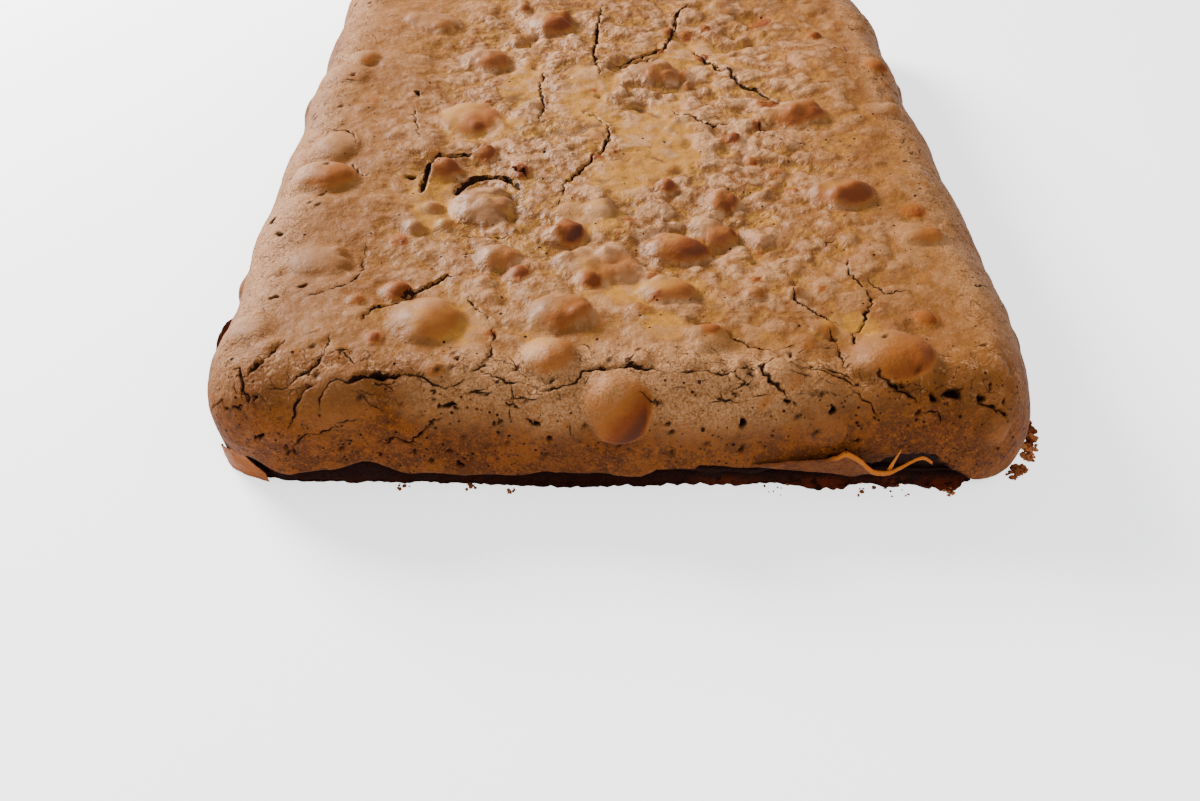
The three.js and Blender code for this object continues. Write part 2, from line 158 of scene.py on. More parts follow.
# ---- cracks over the skin: half width, depth, waypoints (across, along) ----
CRACKS = (
    (0.55, 2.6, (-3, 88), (-5, 61), (-6, 51), (-4, 33)),
    (0.45, 2.2, (-10, 10), (-5.3, 7), (-1.7, 0.5), (-1.7, -9),
     (-5, -16), (-10, -24), (-14.5, -31), (-15.3, -39)),
    (0.2, 0.4, (-15.3, -39), (-16, -42), (-17.7, -46.7)),
    (0.42, 2.0, (-22, 36), (-23.7, 28), (-21.7, 15), (-23, 5)),
    (0.3, 0.8, (-62, 12), (-61, 4), (-58.5, -8), (-57.7, -10)),
    (0.5, 2.2, (24, 82), (21.5, 68.5), (18.7, 56), (9.5, 49), (6, 46), (1, 41.7)),
    (0.5, 2.2, (29, 89), (24, 81), (22, 67)),
    (0.58, 2.4, (28, 56), (32, 48.5), (36, 40.5), (39, 38),
     (40.7, 30.5), (47, 25.7), (50.7, 19.7), (53, 17.3)),
    (0.38, 1.6, (17.5, 13.7), (21, 7.7), (25, 5.7), (28.3, 1.3), (35.5, 2.5)),
    (0.42, 1.6, (44.3, 2.5), (44.3, -2.7), (48.3, -5.9), (52.3, -9), (57.9, -9.9), (60, -13)),
    (0.24, 0.8, (5, 43), (14, 49), (22, 49)),
    (1.1, 3.6, (-54.5, -38), (-54, -31), (-53.3, -23.5), (-50.5, -18.3),
     (-45.7, -17.9), (-41, -15.5), (-36, -13.5)),
    (1.5, 4.2, (-45.5, -36), (-43.5, -31.5), (-40.5, -28.4), (-36.5, -27.4),
     (-32, -28.4), (-29, -31), (-27, -35)),
    (0.35, 1.2, (-30.5, -24.7), (-25.3, -28.7)),
    (0.26, 0.9, (-41, -57), (-35.3, -58), (-31, -58.3), (-27.7, -56.7)),
    (0.22, 0.8, (-41.3, -66.7), (-36.5, -64.7), (-34, -62.7)),
    (0.3, 0.9, (-87.3, -4.7), (-81.7, -5.9), (-77.7, -7.5), (-75.3, -16)),
    (0.45, 1.4, (-75.7, -25), (-71, -32), (-69.7, -30)),
    (0.24, 0.8, (-77.7, -89.5), (-73.7, -86.3), (-71, -85), (-67, -81.5), (-65.3, -76.3), (-65.7, -62.3)),
    (0.3, 1.4, (-62, -97), (-59.3, -91), (-54, -89), (-50, -83)),
    (0.62, 3.0, (-54, -87), (-51.7, -84.7), (-48, -80.7), (-43.7, -76), (-41.3, -77)),
    # the left front shoulder
    (0.26, 1.0, (-78.5, -104.7), (-80, -109.5), (-83, -113.5), (-86, -116.7), (-88, -117)),
    (0.5, 2.2, (-82, -112.5), (-86.4, -117)),
    (0.28, 1.0, (-68.5, -100.7), (-68, -106), (-69, -110), (-70.5, -113.5),
     (-73, -115), (-76.5, -118.3), (-81, -118.7)),
    (0.5, 2.2, (-69.5, -112.5), (-71, -114), (-74, -115.5)),
    (0.2, 0.8, (-61.3, -106.7), (-65, -108), (-68.5, -110)),
    (0.78, 3.2, (-50.5, -114.5), (-53, -114.7), (-57.3, -114.7), (-59.7, -115.5), (-63, -117)),
    (0.28, 1.0, (-62, -116.7), (-65, -116.7), (-66.5, -118.3), (-68, -120.3), (-68, -123)),
    (0.34, 1.2, (-69.3, -118), (-72, -119.5), (-73.3, -121.5), (-74.5, -124.7), (-75.7, -127)),
    (0.28, 1.0, (-59.7, -124.7), (-64, -125.5), (-67.3, -128.3),
     (-73, -129.5), (-77, -134.3), (-81.7, -137.5)),
    (0.3, 1.1, (-55.3, -132.7), (-52.5, -130.3), (-49, -132), (-46.5, -129.5), (-43.3, -126), (-41, -125)),
    (0.45, 1.8, (-82.5, -128.3), (-87.3, -131)),
    (0.24, 0.8, (-91, -110.7), (-93.7, -112.7)),
    (0.24, 0.9, (-89.7, -119.5), (-85, -121.5), (-90, -124), (-96.5, -125.5), (-105, -121)),
    (0.4, 1.0, (-92.5, -115.5), (-90, -117.5), (-87.5, -119.5), (-87.5, -122)),
    # along the front shoulder
    (0.26, 1.0, (-51, -114.7), (-47.7, -114.3), (-44, -116.3), (-40.5, -118), (-37.7, -116.7), (-36, -114.3)),
    (0.26, 1.0, (-36, -114.3), (-33.3, -112.7), (-31.3, -110),
     (-30.5, -105.5), (-30.5, -100.3), (-31.3, -95.5)),
    (0.24, 0.8, (-31.3, -95.5), (-35.7, -90.7), (-38, -86)),
    (0.26, 1.0, (-33.3, -112.7), (-29, -115), (-27, -116.7), (-21.7, -117), (-18, -118.7), (-15, -118)),
    (0.42, 1.8, (-18, -118.5), (-15, -118), (-12, -117), (-9, -113.4), (-1, -112), (4, -112.8), (10, -114.5)),
    (0.2, 0.7, (-37.7, -120), (-34, -118.3), (-28.5, -116.7)),
    (0.55, 2.2, (-42, -122), (-37.8, -121.8)),
    (0.42, 1.6, (-27, -121), (-23.5, -122.8)),
    (0.42, 1.6, (-22.5, -125), (-19.5, -126.8)),
    (0.26, 1.0, (12, -114.5), (17, -113.5), (21, -114), (25, -114), (27, -112.3), (31.5, -112.3)),
    (0.2, 0.7, (25, -114), (27.5, -116.3), (23, -118.7)),
    (0.34, 1.6, (17, -97), (22, -97.5), (24.3, -100), (28.3, -103),
     (29.5, -105), (33.5, -105.5), (36.7, -107.3)),
    (0.34, 1.6, (36.7, -107.5), (33.5, -110.7), (31.5, -112.3), (31.5, -114.7), (34.3, -117), (37.5, -121)),
    (0.26, 1.0, (36.7, -108.3), (38.7, -110.7), (45, -112.3), (48.7, -114.3), (51.5, -116), (54.3, -117.5)),
    (0.26, 1.0, (49, -98), (50.3, -104), (50.7, -108.3), (50.3, -111), (52.3, -112.3), (52.7, -114.7)),
    (0.4, 1.6, (54.7, -99), (54.3, -103.5)),
    (0.42, 2.0, (57, -114), (60.7, -117), (64.3, -119.5), (66, -121)),
    (0.3, 1.2, (68.7, -120.3), (72, -119), (75, -118.3), (76.7, -116.7)),
    (0.46, 2.4, (79.5, -120.3), (82.3, -122), (88, -124.3), (91.5, -126.7)),
    (0.36, 1.4, (52.3, -118.7), (54.7, -120.7), (56, -122), (57.5, -124.3)),
    (0.2, 0.7, (65, -123), (68, -123), (70.7, -122.7), (71.5, -124.3), (72, -126.7)),
    (0.32, 1.2, (58.3, -69.5), (57.5, -76.3), (60, -82.3), (61.5, -87), (58, -95), (54, -102)),
    (0.24, 0.9, (61.5, -78), (65.5, -85), (70.7, -83.5), (72.7, -86.3)),
    (0.26, 0.9, (44, -77), (42.3, -86.7), (46, -91), (49, -94), (53, -98)),
    (0.2, 0.6, (53, -65.5), (54.3, -62), (56.7, -61), (59.5, -62)),
    (0.21, 0.8, (-96, -117), (-90, -121), (-85, -121), (-86, -125)),
    (0.18, 0.7, (3, -119), (6, -121), (10, -121)),
    (0.21, 0.7, (17, -123), (20, -121), (25, -120)),
)
GROWN_CRACKS, GROWN_SEED, CRACK_SEED = 110, 5, 3
CRACK_CHANNELS = 6

# ---- holes in the skin: across, along, radius, depth ----
HOLES = (
    (74, -118.9, 1.3, 3.0),
    (80.7, -120.3, 0.85, 2.4),
    (69.5, -120, 0.75, 2.0),
    (27, -126.3, 0.9, 2.4),
    (47, -122.7, 0.75, 2.0),
    (32.7, -116, 0.55, 1.4),
    (36.7, -120.7, 0.6, 1.6),
    (66.3, -123, 0.55, 1.4),
    (83.5, -118.3, 0.6, 1.4),
    (84.7, -106, 0.55, 1.2),
    (49.5, -101.5, 0.6, 1.4),
    (27, -134.3, 0.5, 1.2),
    (53.5, -130.7, 0.5, 1.2),
    (65.5, -114.7, 0.4, 0.9),
    (74, -130.7, 0.45, 1.0),
    (88.7, -122.3, 0.5, 1.2),
    (-29.7, -126.7, 0.5, 1.2),
    (-17, -130, 0.6, 1.6),
    (-38, -138.7, 0.7, 1.6),
    (-69, -133, 0.4, 1.0),
    (-77.3, -134.3, 0.5, 1.2),
    (-40, -122, 0.7, 1.4),
    (-20, -126, 0.55, 1.4),
    (-92, -52, 1.0, 1.8),
    (-88, -61, 0.8, 1.6),
    (-84, -88, 0.8, 1.6),
    (7, -121, 0.5, 1.2),
    (-78, -84, 0.8, 1.6),
    (-62, 20, 1.0, 1.6),
    (-58, -30, 0.9, 1.8),
)
PITS, PIT_SEED = 420, 41
# Rounds of finer mesh: how far past a crack or hole, the least half width, the least radius.
FINER = ((1.5, 0.2, 0.5), (0.7, 0.3, 0.7))

# ---- golden pools where the skin is a thin clear film: across, along, half width, half depth ----
POOLS = (
    (14, -6, 15, 22),
    (-50, -44, 7, 17),
    (53, -97, 8, 6),
    (4, -83, 15, 7),
    (-8, 20, 10, 26),
    (26, 52, 15, 12),
    (-9, -50, 9, 9),
    (2, -30, 10, 12),
    (-42, 3, 13, 13),
    (-20, -103, 4, 8),
    (-40, -98, 9, 8),
    (10, -99, 5, 6),
    (-28, 30, 9, 14),
)
# Broad patches that are drier and paler (above 0) or browner (below 0):
# across, along, half width, half depth, how much.
TONES = (
    (70, -21, 17, 17, -0.7),
    (46, -47, 12, 10, -0.35),
    (-17, -49, 10, 8, -0.35),
    (-36, -72, 10, 9, -0.6),
    (66, -96, 16, 12, -0.7),
    (54, -107, 10, 6, -0.6),
    (-98, 55, 8, 16, -0.8),
    (-46, -120, 8, 6, 0.4),
    (-33, -120, 9, 8, 0.25),
    (-16, -124, 8, 5, 0.5),
    (18, -110, 10, 6, 0.4),
    (20, -120, 13, 9, 0.8),
    (36, -117, 9, 7, 0.5),
    (-97, -118, 5, 8, 0.3),
    (118, -120, 7, 12, 0.8),
    (92, -118, 14, 12, -0.9),
    (-66, -116, 16, 12, -0.9),
    (-92, -60, 8, 40, 0.5),
    (0, 100, 80, 12, -0.2),
)
# Upper edge of the torn skin low on the front, where the dark crumb shows: across, along.
TORN_EDGE = (
    (4, -142.2),
    (11, -141),
    (19, -139.9),
    (34, -139.4),
    (50, -139.8),
    (57, -138.4),
    (60.5, -137.8),
    (62, -136),
    (63.5, -134.8),
    (70, -134.5),
    (73, -135.2),
    (74.5, -137.6),
    (80, -139.6),
    (90, -142),
)
TORN_DEPTH = 2.2


def seeded_random(seed):
    """A repeatable run of numbers from 0 to 1."""
    state = seed
    while True:
        state = (state * 1664525 + 1013904223) & 0xFFFFFFFF
        yield state / 4294967296


def smoothstep(value, low, high):
    share = np.clip((value - low) / (high - low), 0, 1)
    return share * share * (3 - 2 * share)


def bell(across, along, middle, halves):
    """A smooth patch that is 1 in its middle and fades by its half sizes."""
    return np.exp(-((across - middle[0]) / halves[0]) ** 2 - ((along - middle[1]) / halves[1]) ** 2)


# ---- the smooth slab ----
def drape(across, along):
    """The smooth skin at places measured over it: run from the core, outward way, point and normal."""
    across, along = np.asarray(across, float), np.asarray(along, float)
    core_x, core_y = np.clip(across, -CORE_X, CORE_X), np.clip(along, -CORE_Y, CORE_Y)
    dx, dy = across - core_x, along - core_y
    run = np.maximum(np.abs(dx), np.abs(dy))
    far = np.maximum(np.hypot(dx, dy), 1e-9)
    ways = (dx / far, dy / far)
    roll = np.clip((run - TOP_RUN) / SHOULDER_RADIUS, 0, math.pi / 2)
    turn = np.clip((run - SKIRT) / LIP_RADIUS, 0, math.pi / 2)
    inner, top, ones = CORNER_RADIUS - LIP_RADIUS, HEIGHT - SHOULDER_RADIUS, np.ones_like(run)
    # from the foot up to the top: where each part starts, the way out, the height and the normal's two parts
    section = (
        (UNDER_END, (CORNER_RADIUS - OVERHANG) * ones, LIP_HEIGHT - (run - UNDER_END), ones, 0 * ones),
        (LIP_END, inner - (run - LIP_END), LIP_HEIGHT * ones, 0 * ones, -ones),
        (SKIRT, inner + LIP_RADIUS * np.cos(turn), LIP_HEIGHT + LIP_RADIUS * (1 - np.sin(turn)),
         np.cos(turn), -np.sin(turn)),
        (ROLL_END, CORNER_RADIUS * ones, top - (run - ROLL_END), ones, 0 * ones),
        (TOP_RUN, TOP_RUN + SHOULDER_RADIUS * np.sin(roll), top + SHOULDER_RADIUS * np.cos(roll),
         np.sin(roll), np.cos(roll)),
        (-1, run, HEIGHT * ones, 0 * ones, ones),
    )
    starts = [run > row[0] for row in section]
    out, high, normal_out, normal_up = (np.select(starts, column) for column in list(zip(*section))[1:])
    point = np.stack([core_x + out * ways[0], core_y + out * ways[1], high], -1)
    normal = np.stack([normal_out * ways[0], normal_out * ways[1], normal_up], -1)
    return run, np.stack(ways, -1), point, normal


def swell(point):
    """Slow waves, each turned from the last by the golden angle so that no pattern repeats."""
    total = np.zeros(len(point))
    for index, length in enumerate(SWELL_LENGTHS):
        turn = index * 2.4
        way = point[:, 0] * math.cos(turn) + point[:, 1] * math.sin(turn) + 0.8 * point[:, 2]
        share = length / SWELL_LENGTHS[0]
        total += SWELL_HEIGHT * share * np.sin(2 * math.pi * way / length + 1.7 * index)
    return total / 2


def fullness(point):
    """How far the side stands out beyond the even section."""
    total = np.zeros(len(point))
    for middle, halves, out in FULLER:
        total += out * np.exp(-(((point - middle) / halves) ** 2).sum(1))
    return total


def lip_lift(x, y):
    """How far the lower edge of the skin lifts at places of the outline."""
    wave = 0.4 * np.sin(x * 0.21 + y * 0.17) + 0.3 * np.sin(x * 0.47 - y * 0.39)
    arch = np.exp(-2 * ((x - ARCH_ACROSS) / ARCH_HALF) ** 2) * (y < -CORE_Y)
    droop = DROOP_FALL * bell(x, y, DROOP_PLACE, (DROOP_HALF,) * 2)
    return wave + ARCH_RISE * arch - droop + SPLIT_RISE * bell(x, y, SPLIT_PLACE, (SPLIT_HALF,) * 2)


def foot_wander(x, y):
    """How far the dark foot strays in or out at places of the outline."""
    return 0.45 * np.sin(x * 0.19 + y * 0.23) + 0.3 * np.sin(x * 0.61 - y * 0.53)


def spare_blisters():
    """Blisters for the sides and the back, by the same rule as the solid's."""
    draw = seeded_random(SPARE_SEED)
    reach_x, reach_y = CORE_X + ROLL_END, CORE_Y + ROLL_END
    made = []
    for index in range(SPARE_BLISTERS):
        size = SPARE_LEAST + (SPARE_MOST - SPARE_LEAST) * next(draw) ** 2
        rise = size * (0.2 + 0.16 * next(draw))
        spread, deep = 2 * next(draw) - 1, next(draw)
        toast_and_shade = 0.2 + 0.6 * deep
        if index % 3 == 0:
            side = math.copysign(reach_x, spread)
            made.append((side, (2 * deep - 1) * CORE_Y, size, size, rise * 0.6, toast_and_shade))
        else:
            back = NAMED_BACK + deep * (reach_y - NAMED_BACK)
            made.append((spread * CORE_X, back, size, size * 0.85, rise, toast_and_shade))
    return made


def pebbles():
    """Small bumps, crowded in the middle and thin towards the rim: across, along, radius, rise, toast."""
    draw = seeded_random(PEBBLE_SEED)
    made = []
    while len(made) < PEBBLES:
        across = (2 * next(draw) - 1) * (CORE_X + 14)
        along = (2 * next(draw) - 1) * (CORE_Y + 16)
        size = 1.6 + 2.1 * next(draw) ** 2
        chance, burnt = next(draw), next(draw)
        middle = math.exp(-((across - 14) / 52) ** 2 - ((along + 10) / 95) ** 2)
        if chance > 0.12 + middle:
            continue
        rise = size * (0.12 + 0.24 * next(draw))
        made.append((across, along, size, rise, 0.84 if burnt > 0.91 else 0.45 * burnt))
    return made


def blistering(point, normal):
    """How far blisters push the skin out, and how toasted their far sides are, darkened with painted shade on
    the side away from the window light.
    """
    push, toast_and_shade = np.zeros(len(point)), np.zeros(len(point))
    uneven = noise_at(point, 6.5, 3, 2.9)
    rows = [*BLISTERS, *spare_blisters()]
    rows += [(a, b, r, r, rise, heat) for a, b, r, rise, heat in [*PIMPLES, *pebbles()]]
    for across, along, wide, deep, rise, heat in rows:
        centre = drape([across], [along])[2][0]
        near = np.abs(point - centre).max(1) < 2 * max(wide, deep)
        scale = np.array([wide, deep, min(wide, deep)])
        offset = (point[near] - centre) / scale
        shade = offset @ SHADED_SIDE_WAY
        away = np.sqrt((offset ** 2).sum(1)) + 0.16 * shade + 0.13 * uneven[near]
        cap = np.where(away < 1, rise * np.clip(1 - away ** 2, 0, 1) ** 0.8, 0)
        moat = rise * MOAT_DEPTH * np.exp(-(((away - 1.1) / 0.3) ** 2))
        push[near] += cap - moat
        all_over = (0.1 + 0.5 * heat) * (1 if wide < 5 else 0.55)
        # the side away from the window light gets more: painted shade over the blister's own toasting
        spot = smoothstep(1.06 - away, 0, 0.3) * (all_over + (1 - all_over) * smoothstep(shade, -0.4, 0.5))
        toast_and_shade[near] = np.maximum(toast_and_shade[near], heat * spot)
    return push, toast_and_shade


# ---- cracks ----
def wandering(way, draw, stray, step=0.95):
    """The places that a crack passes, straying from the straight way between its waypoints."""
    course = [way[0]]
    for start, end in zip(way, way[1:]):
        length = math.dist(start, end)
        steps = max(1, round(length / step))
        side = ((start[1] - end[1]) / length, (end[0] - start[0]) / length)
        for index in range(1, steps + 1):
            share = index / steps
            off = stray * (2 * next(draw) - 1) * (index < steps)
            course.append(tuple(
                start[axis] + (end[axis] - start[axis]) * share + side[axis] * off for axis in (0, 1)
            ))
    return np.array(course)


def grown_cracks():
    """Short fine cracks over the shoulder and sides, each growing on from where it starts."""
    draw = seeded_random(GROWN_SEED)
    made = []
    for index in range(GROWN_CRACKS):
        edge, place, depth = next(draw), 2 * next(draw) - 1, next(draw)
        run = 1 + 19 * depth
        if edge < 0.55:
            start, heading = [place * CORE_X, -CORE_Y - run], 0.0
        elif edge < 0.7:
            start, heading = [place * CORE_X, CORE_Y + run], 0.0
        else:
            side = 1 if edge > 0.85 else -1
            start, heading = [side * (CORE_X + run), place * CORE_Y], math.pi / 2
        heading += (next(draw) - 0.5) * 2.2
        length = 3 + 9 * next(draw) ** 2
        way = [tuple(start)]
        while length > 0:
            heading += (next(draw) - 0.5) * 1.3
            stride = 1.6 + next(draw)
            start = [start[0] + stride * math.cos(heading), start[1] + stride * math.sin(heading)]
            length -= stride
            way.append(tuple(start))
        limit_x, limit_y = CORE_X + SKIRT - 2, CORE_Y + SKIRT - 2
        way = [(min(max(a, -limit_x), limit_x), min(max(b, -limit_y), limit_y)) for a, b in way]
        way = [p for p, q in zip(way, [None, *way]) if p != q]
        crossed = any(
            math.hypot((a - across) / wide, (b - along) / deep) < 1.1
            for a, b in way for across, along, wide, deep, rise, heat in BLISTERS if rise > 3
        )
        if len(way) > 1 and not crossed:
            made.append((0.1 + 0.09 * next(draw), 0.4, *way))
    return made


class Crack:
    """One crack as a course over the skin, with its width and depth."""

    def __init__(self, half, depth, way, draw):
        self.half, self.depth = half, depth
        self.course = wandering(way, draw, 0.5 if half < 1 else 0.15)
        self.step_side = 1 if next(draw) > 0.5 else -1
        legs = np.linalg.norm(np.diff(self.course, axis=0), axis=1)
        self.marks = np.concatenate([[0], np.cumsum(legs)]) / legs.sum()

    def near(self, across, along, reach):
        """Indices within reach, with their signed distance and share of the way along."""
        low, high = self.course.min(0) - reach, self.course.max(0) + reach
        inside = (across > low[0]) & (across < high[0]) & (along > low[1]) & (along < high[1])
        index = np.nonzero(inside)[0]
        place = np.stack([across[index], along[index]], -1)
        best = np.full(len(index), 1e9)
        signed, share = np.zeros(len(index)), np.zeros(len(index))
        for leg in range(len(self.course) - 1):
            start, end = self.course[leg], self.course[leg + 1]
            way = end - start
            length = np.linalg.norm(way)
            offset = place - start
            along_leg = np.clip(offset @ way / length ** 2, 0, 1)
            gap = np.linalg.norm(offset - along_leg[:, None] * way, axis=1)
            side = (way[0] * offset[:, 1] - way[1] * offset[:, 0]) / length
            tied = (np.abs(gap - best) < 1e-6) & (np.abs(side) > np.abs(signed))
            closer = (gap < best - 1e-6) | tied
            best = np.where(closer, np.minimum(gap, best), best)
            signed = np.where(closer, np.where(side < 0, -1, 1) * np.maximum(gap, 1e-6), signed)
            marks = self.marks[leg] + along_leg * (self.marks[leg + 1] - self.marks[leg])
            share = np.where(closer, marks, share)
        kept = best < reach
        return index[kept], signed[kept], share[kept]


def all_cracks():
    draw = seeded_random(CRACK_SEED)
    rows = [*CRACKS, *grown_cracks()]
    return [Crack(half, depth, way, draw) for half, depth, *way in rows]


def openness(share):
    """How open a crack is along its way: closed at both ends and uneven between them."""
    return np.clip(np.sin(math.pi * share), 0, 1) ** 0.55 * (0.8 + 0.2 * np.sin(share * 19))


def noise_at(points, length, octaves=3, shift=0.0):
    """Fractal noise of a wavelength in millimetres, about -1 to 1."""
    move = Vector((shift, shift * 1.7, -shift))
    return np.array([
        noise.fractal(Vector(p) / length + move, 0.9, 2.1, octaves, noise_basis="PERLIN_ORIGINAL")
        for p in points
    ])


def lumps(points, length, shift=0.0):
    """Crowded rounded lumps of an average width, from 0 in the creases between them to 1."""
    stray = np.stack([noise_at(points, 1.7 * length, 2, shift + side) for side in (1, 2, 3)], -1)
    moved = (points + 0.6 * length * stray) / length + shift
    gap = np.array([noise.noise(Vector(p), noise_basis="VORONOI_F1") for p in moved])
    return np.clip(1 - ((gap + 1) / 1.5) ** 2, 0, 1)


def pits():
    """Pinholes, most of them low on the sides: across, along, radius, depth."""
    draw = seeded_random(PIT_SEED)
    made = list(HOLES)
    for index in range(PITS):
        edge, place, depth = next(draw), 2 * next(draw) - 1, next(draw)
        run = 4 + 33 * depth
        if edge < 0.5:
            spot = (place * (CORE_X + 8), -CORE_Y - run)
        elif edge < 0.6:
            spot = (place * (CORE_X + 8), CORE_Y + run)
        else:
            spot = ((1 if edge > 0.8 else -1) * (CORE_X + run), place * (CORE_Y + 8))
        size = 0.18 + 0.36 * next(draw) ** 3
        made.append((*spot, size, 1.7 * size))
    return made


# ---- the slab's mesh ----
def grid_lines(core, cell):
    """Grid lines over the skin from one foot to the other, closer where the section bends."""
    middle = np.linspace(-core, core, round(2 * core / cell) + 1)
    outer, start = [], 0.0
    for length, count in (
        (TOP_RUN, round(TOP_RUN / cell)),
        (ROLL_RUN, round(ROLL_RUN / cell)),
        (SIDE_RUN, round(SIDE_RUN / cell)),
        (LIP_RUN, 3),
        (UNDER_RUN, 2),
        (FOOT_RUN, 3),
    ):
        outer += [start + length * step / count for step in range(1, count + 1)]
        start += length
    outer = np.array(outer)
    return np.concatenate([-(core + outer)[::-1], middle, core + outer])


def refine(mesh, cracks, holes, reach, least_half, least_hole):
    """Cuts the grid's cells once more round the cracks and holes that are wide enough to need it."""
    places = np.array([vert.co.xy for vert in mesh.verts])
    chosen = np.zeros(len(places), bool)
    for crack in cracks:
        if crack.half >= least_half:
            chosen[crack.near(places[:, 0], places[:, 1], reach + crack.half)[0]] = True
    for across, along, radius, depth in holes:
        if radius >= least_hole:
            gap = np.hypot(places[:, 0] - across, places[:, 1] - along)
            chosen[gap < radius + reach] = True
    edges = [edge for edge in mesh.edges if all(chosen[vert.index] for vert in edge.verts)]
    bmesh.ops.subdivide_edges(mesh, edges=edges, cuts=1, use_grid_fill=True)
    mesh.verts.index_update()


def dry_and_filmed(across, along, run, ways, point):
    """Where the skin is dry and light in tone, with painted sheen over the middle of the front shoulder, and
    where it is a thin golden film.
    """
    # drier and paler over the middle of the front shoulder: dry skin and painted sheen from the window light
    dry = np.exp(-((across + 4) / 44) ** 2) * (along < 0)
    dry *= smoothstep(run, 0, 9) * (1 - smoothstep(run, 16, 30))
    flank = np.abs(ways[:, 0]) * smoothstep(run, 2, 9) * (1 - smoothstep(run, 16, 26))
    dry = np.maximum(dry, 0.6 * flank)
    for a, b, wide, deep, amount in TONES:
        dry += amount * bell(across, along, (a, b), (wide, deep))
    film = np.zeros(len(run))
    for a, b, wide, deep in POOLS:
        film = np.maximum(film, bell(across, along, (a, b), (wide, deep)))
    return dry, np.clip(film + 0.4 * noise_at(point, 14, 3, 3.1), 0, 1)


def cracked(across, along, cracks):
    """The grooves, raised edges and calm skin round the cracks, and the cracks' lines for the material."""
    count = len(across)
    near, half = np.zeros((count, CRACK_CHANNELS)), np.zeros((count, CRACK_CHANNELS))
    groove, lift, calm = np.zeros(count), np.zeros(count), np.ones(count)
    for crack in cracks:
        index, signed, share = crack.near(across, along, 4.5)
        pinch = 0.5 * max(0.0, 1.0 - crack.half)
        open_here = openness(share) * (1 - pinch + pinch * np.sin(across[index] * 0.7 + along[index] * 0.9))
        gap = np.abs(signed)
        wide = crack.half * (0.45 + 0.55 * open_here) + 0.05
        cut = crack.depth * open_here * np.clip(1 - gap / (wide + 0.15), 0, 1) ** 0.8
        groove[index] = np.maximum(groove[index], cut)
        if crack.half > 1:
            calm[index] = np.minimum(calm[index], smoothstep(gap, 0.5, 4.5))
        ridge = 0.42 * min(crack.half, 0.8) * open_here * np.exp(-((gap - wide) / 1.3) ** 2)
        shelf = crack.step_side * np.sign(signed) * 0.7 * min(crack.half, 0.7) * open_here
        lift[index] += ridge + shelf * np.exp(-gap / 2.6)
        # the line goes to the channel with the fewest other lines near it
        close = gap < 2.6
        index, signed, wide = index[close], signed[close], (crack.half * open_here)[close]
        wide *= smoothstep(2.5 - np.abs(signed), 0, 1)
        crowd = [np.count_nonzero(half[index, channel] > 0) for channel in range(CRACK_CHANNELS)]
        channel = int(np.argmin(crowd))
        better = wide >= half[index, channel]
        near[index[better], channel], half[index[better], channel] = signed[better], wide[better]
    return near, half, groove, lift, calm


def skin(across, along, cracks, holes):
    """The finished surface in millimetres, and what the material needs to know at each place."""
    run, ways, point, normal = drape(across, along)
    side_share = smoothstep(run, SKIRT - SIDE_RUN, SKIRT)
    hold = 1 - 0.6 * smoothstep(run, SKIRT - SIDE_RUN, LIP_END)
    inward = np.where(run > 0, 0, np.minimum(CORE_X - np.abs(across), CORE_Y - np.abs(along)))
    sag = MIDDLE_SAG * smoothstep(inward, 0, SAG_WIDTH)
    push, toast_and_shade = blistering(point, normal)

    middle = np.exp(-((across - 6) / 66) ** 4 - ((along - 4) / 104) ** 4)
    crowd = 0.35 + 0.65 * smoothstep(noise_at(point, 24, 2, 9.1), -0.35, 0.25)
    tops = 0.74 * lumps(point, 7.2) + 0.26 * lumps(point, 3.6, 5.0)
    dry, film = dry_and_filmed(across, along, run, ways, point)
    relief = noise_at(point, 13, 3) * (0.3 + 0.9 * middle) + (tops - 0.5) * (0.25 + 2.9 * middle * crowd)
    relief = relief * (1 - 0.7 * film) - 0.3 * film

    near, half, groove, lift, calm = cracked(across, along, cracks)
    # holes darkened inside: dark crumb with painted shade in the pits
    dark = np.zeros(len(run))
    for a, b, radius, depth in holes:
        gap = np.hypot(across - a, along - b) / radius
        inside = gap < 1.9
        shape = np.arctan2(along[inside] - b, across[inside] - a)
        gap = gap[inside] * (1 + 0.28 * np.sin(2 * shape + a) + 0.16 * np.sin(3 * shape + 2 * b))
        groove[inside] = np.maximum(groove[inside], depth * np.clip(1 - gap ** 2, 0, 1) ** 0.7)
        dark[inside] = np.maximum(dark[inside], 1 - smoothstep(gap, 0.75, 1.25))
    edge = np.interp(across, *np.array(TORN_EDGE).T, left=-LENGTH, right=-LENGTH)
    tear = smoothstep(edge - along + 0.9 * noise_at(point, 2.6, 2, 4.4), 0, 0.7) * (along < -CORE_Y)

    rise = hold * (swell(point) + push + relief * calm + lift) - sag - groove - TORN_DEPTH * tear
    made = point + normal * rise[:, None]
    made[:, :2] += ways * fullness(point)[:, None]
    lifted = lip_lift(point[:, 0], point[:, 1])
    made[:, 2] += (lifted + 0.3 * noise_at(point, 3.4, 2, 5.5)) * side_share

    foot = point.copy()
    foot[:, :2] += ways * foot_wander(point[:, 0], point[:, 1])[:, None]
    level = point[:, 2] + lifted * (point[:, 2] / LIP_HEIGHT)
    foot[:, 2] = np.where(point[:, 2] < 1e-3, 0, level)
    on_foot = run > LIP_END + UNDER_RUN * 0.5
    made[on_foot] = foot[on_foot]
    base = smoothstep(run, SKIRT + LIP_RUN * 0.4, LIP_END)
    facts = {
        "skin_zone": np.stack([run, toast_and_shade, film], -1),
        "skin_form": np.stack([dry, np.maximum(base, tear), dark], -1),
        "skin_rise": np.stack([push, tops, middle], -1),
        "crack_near_a": near[:, :3],
        "crack_near_b": near[:, 3:],
        "crack_half_a": half[:, :3],
        "crack_half_b": half[:, 3:],
    }
    return made, facts


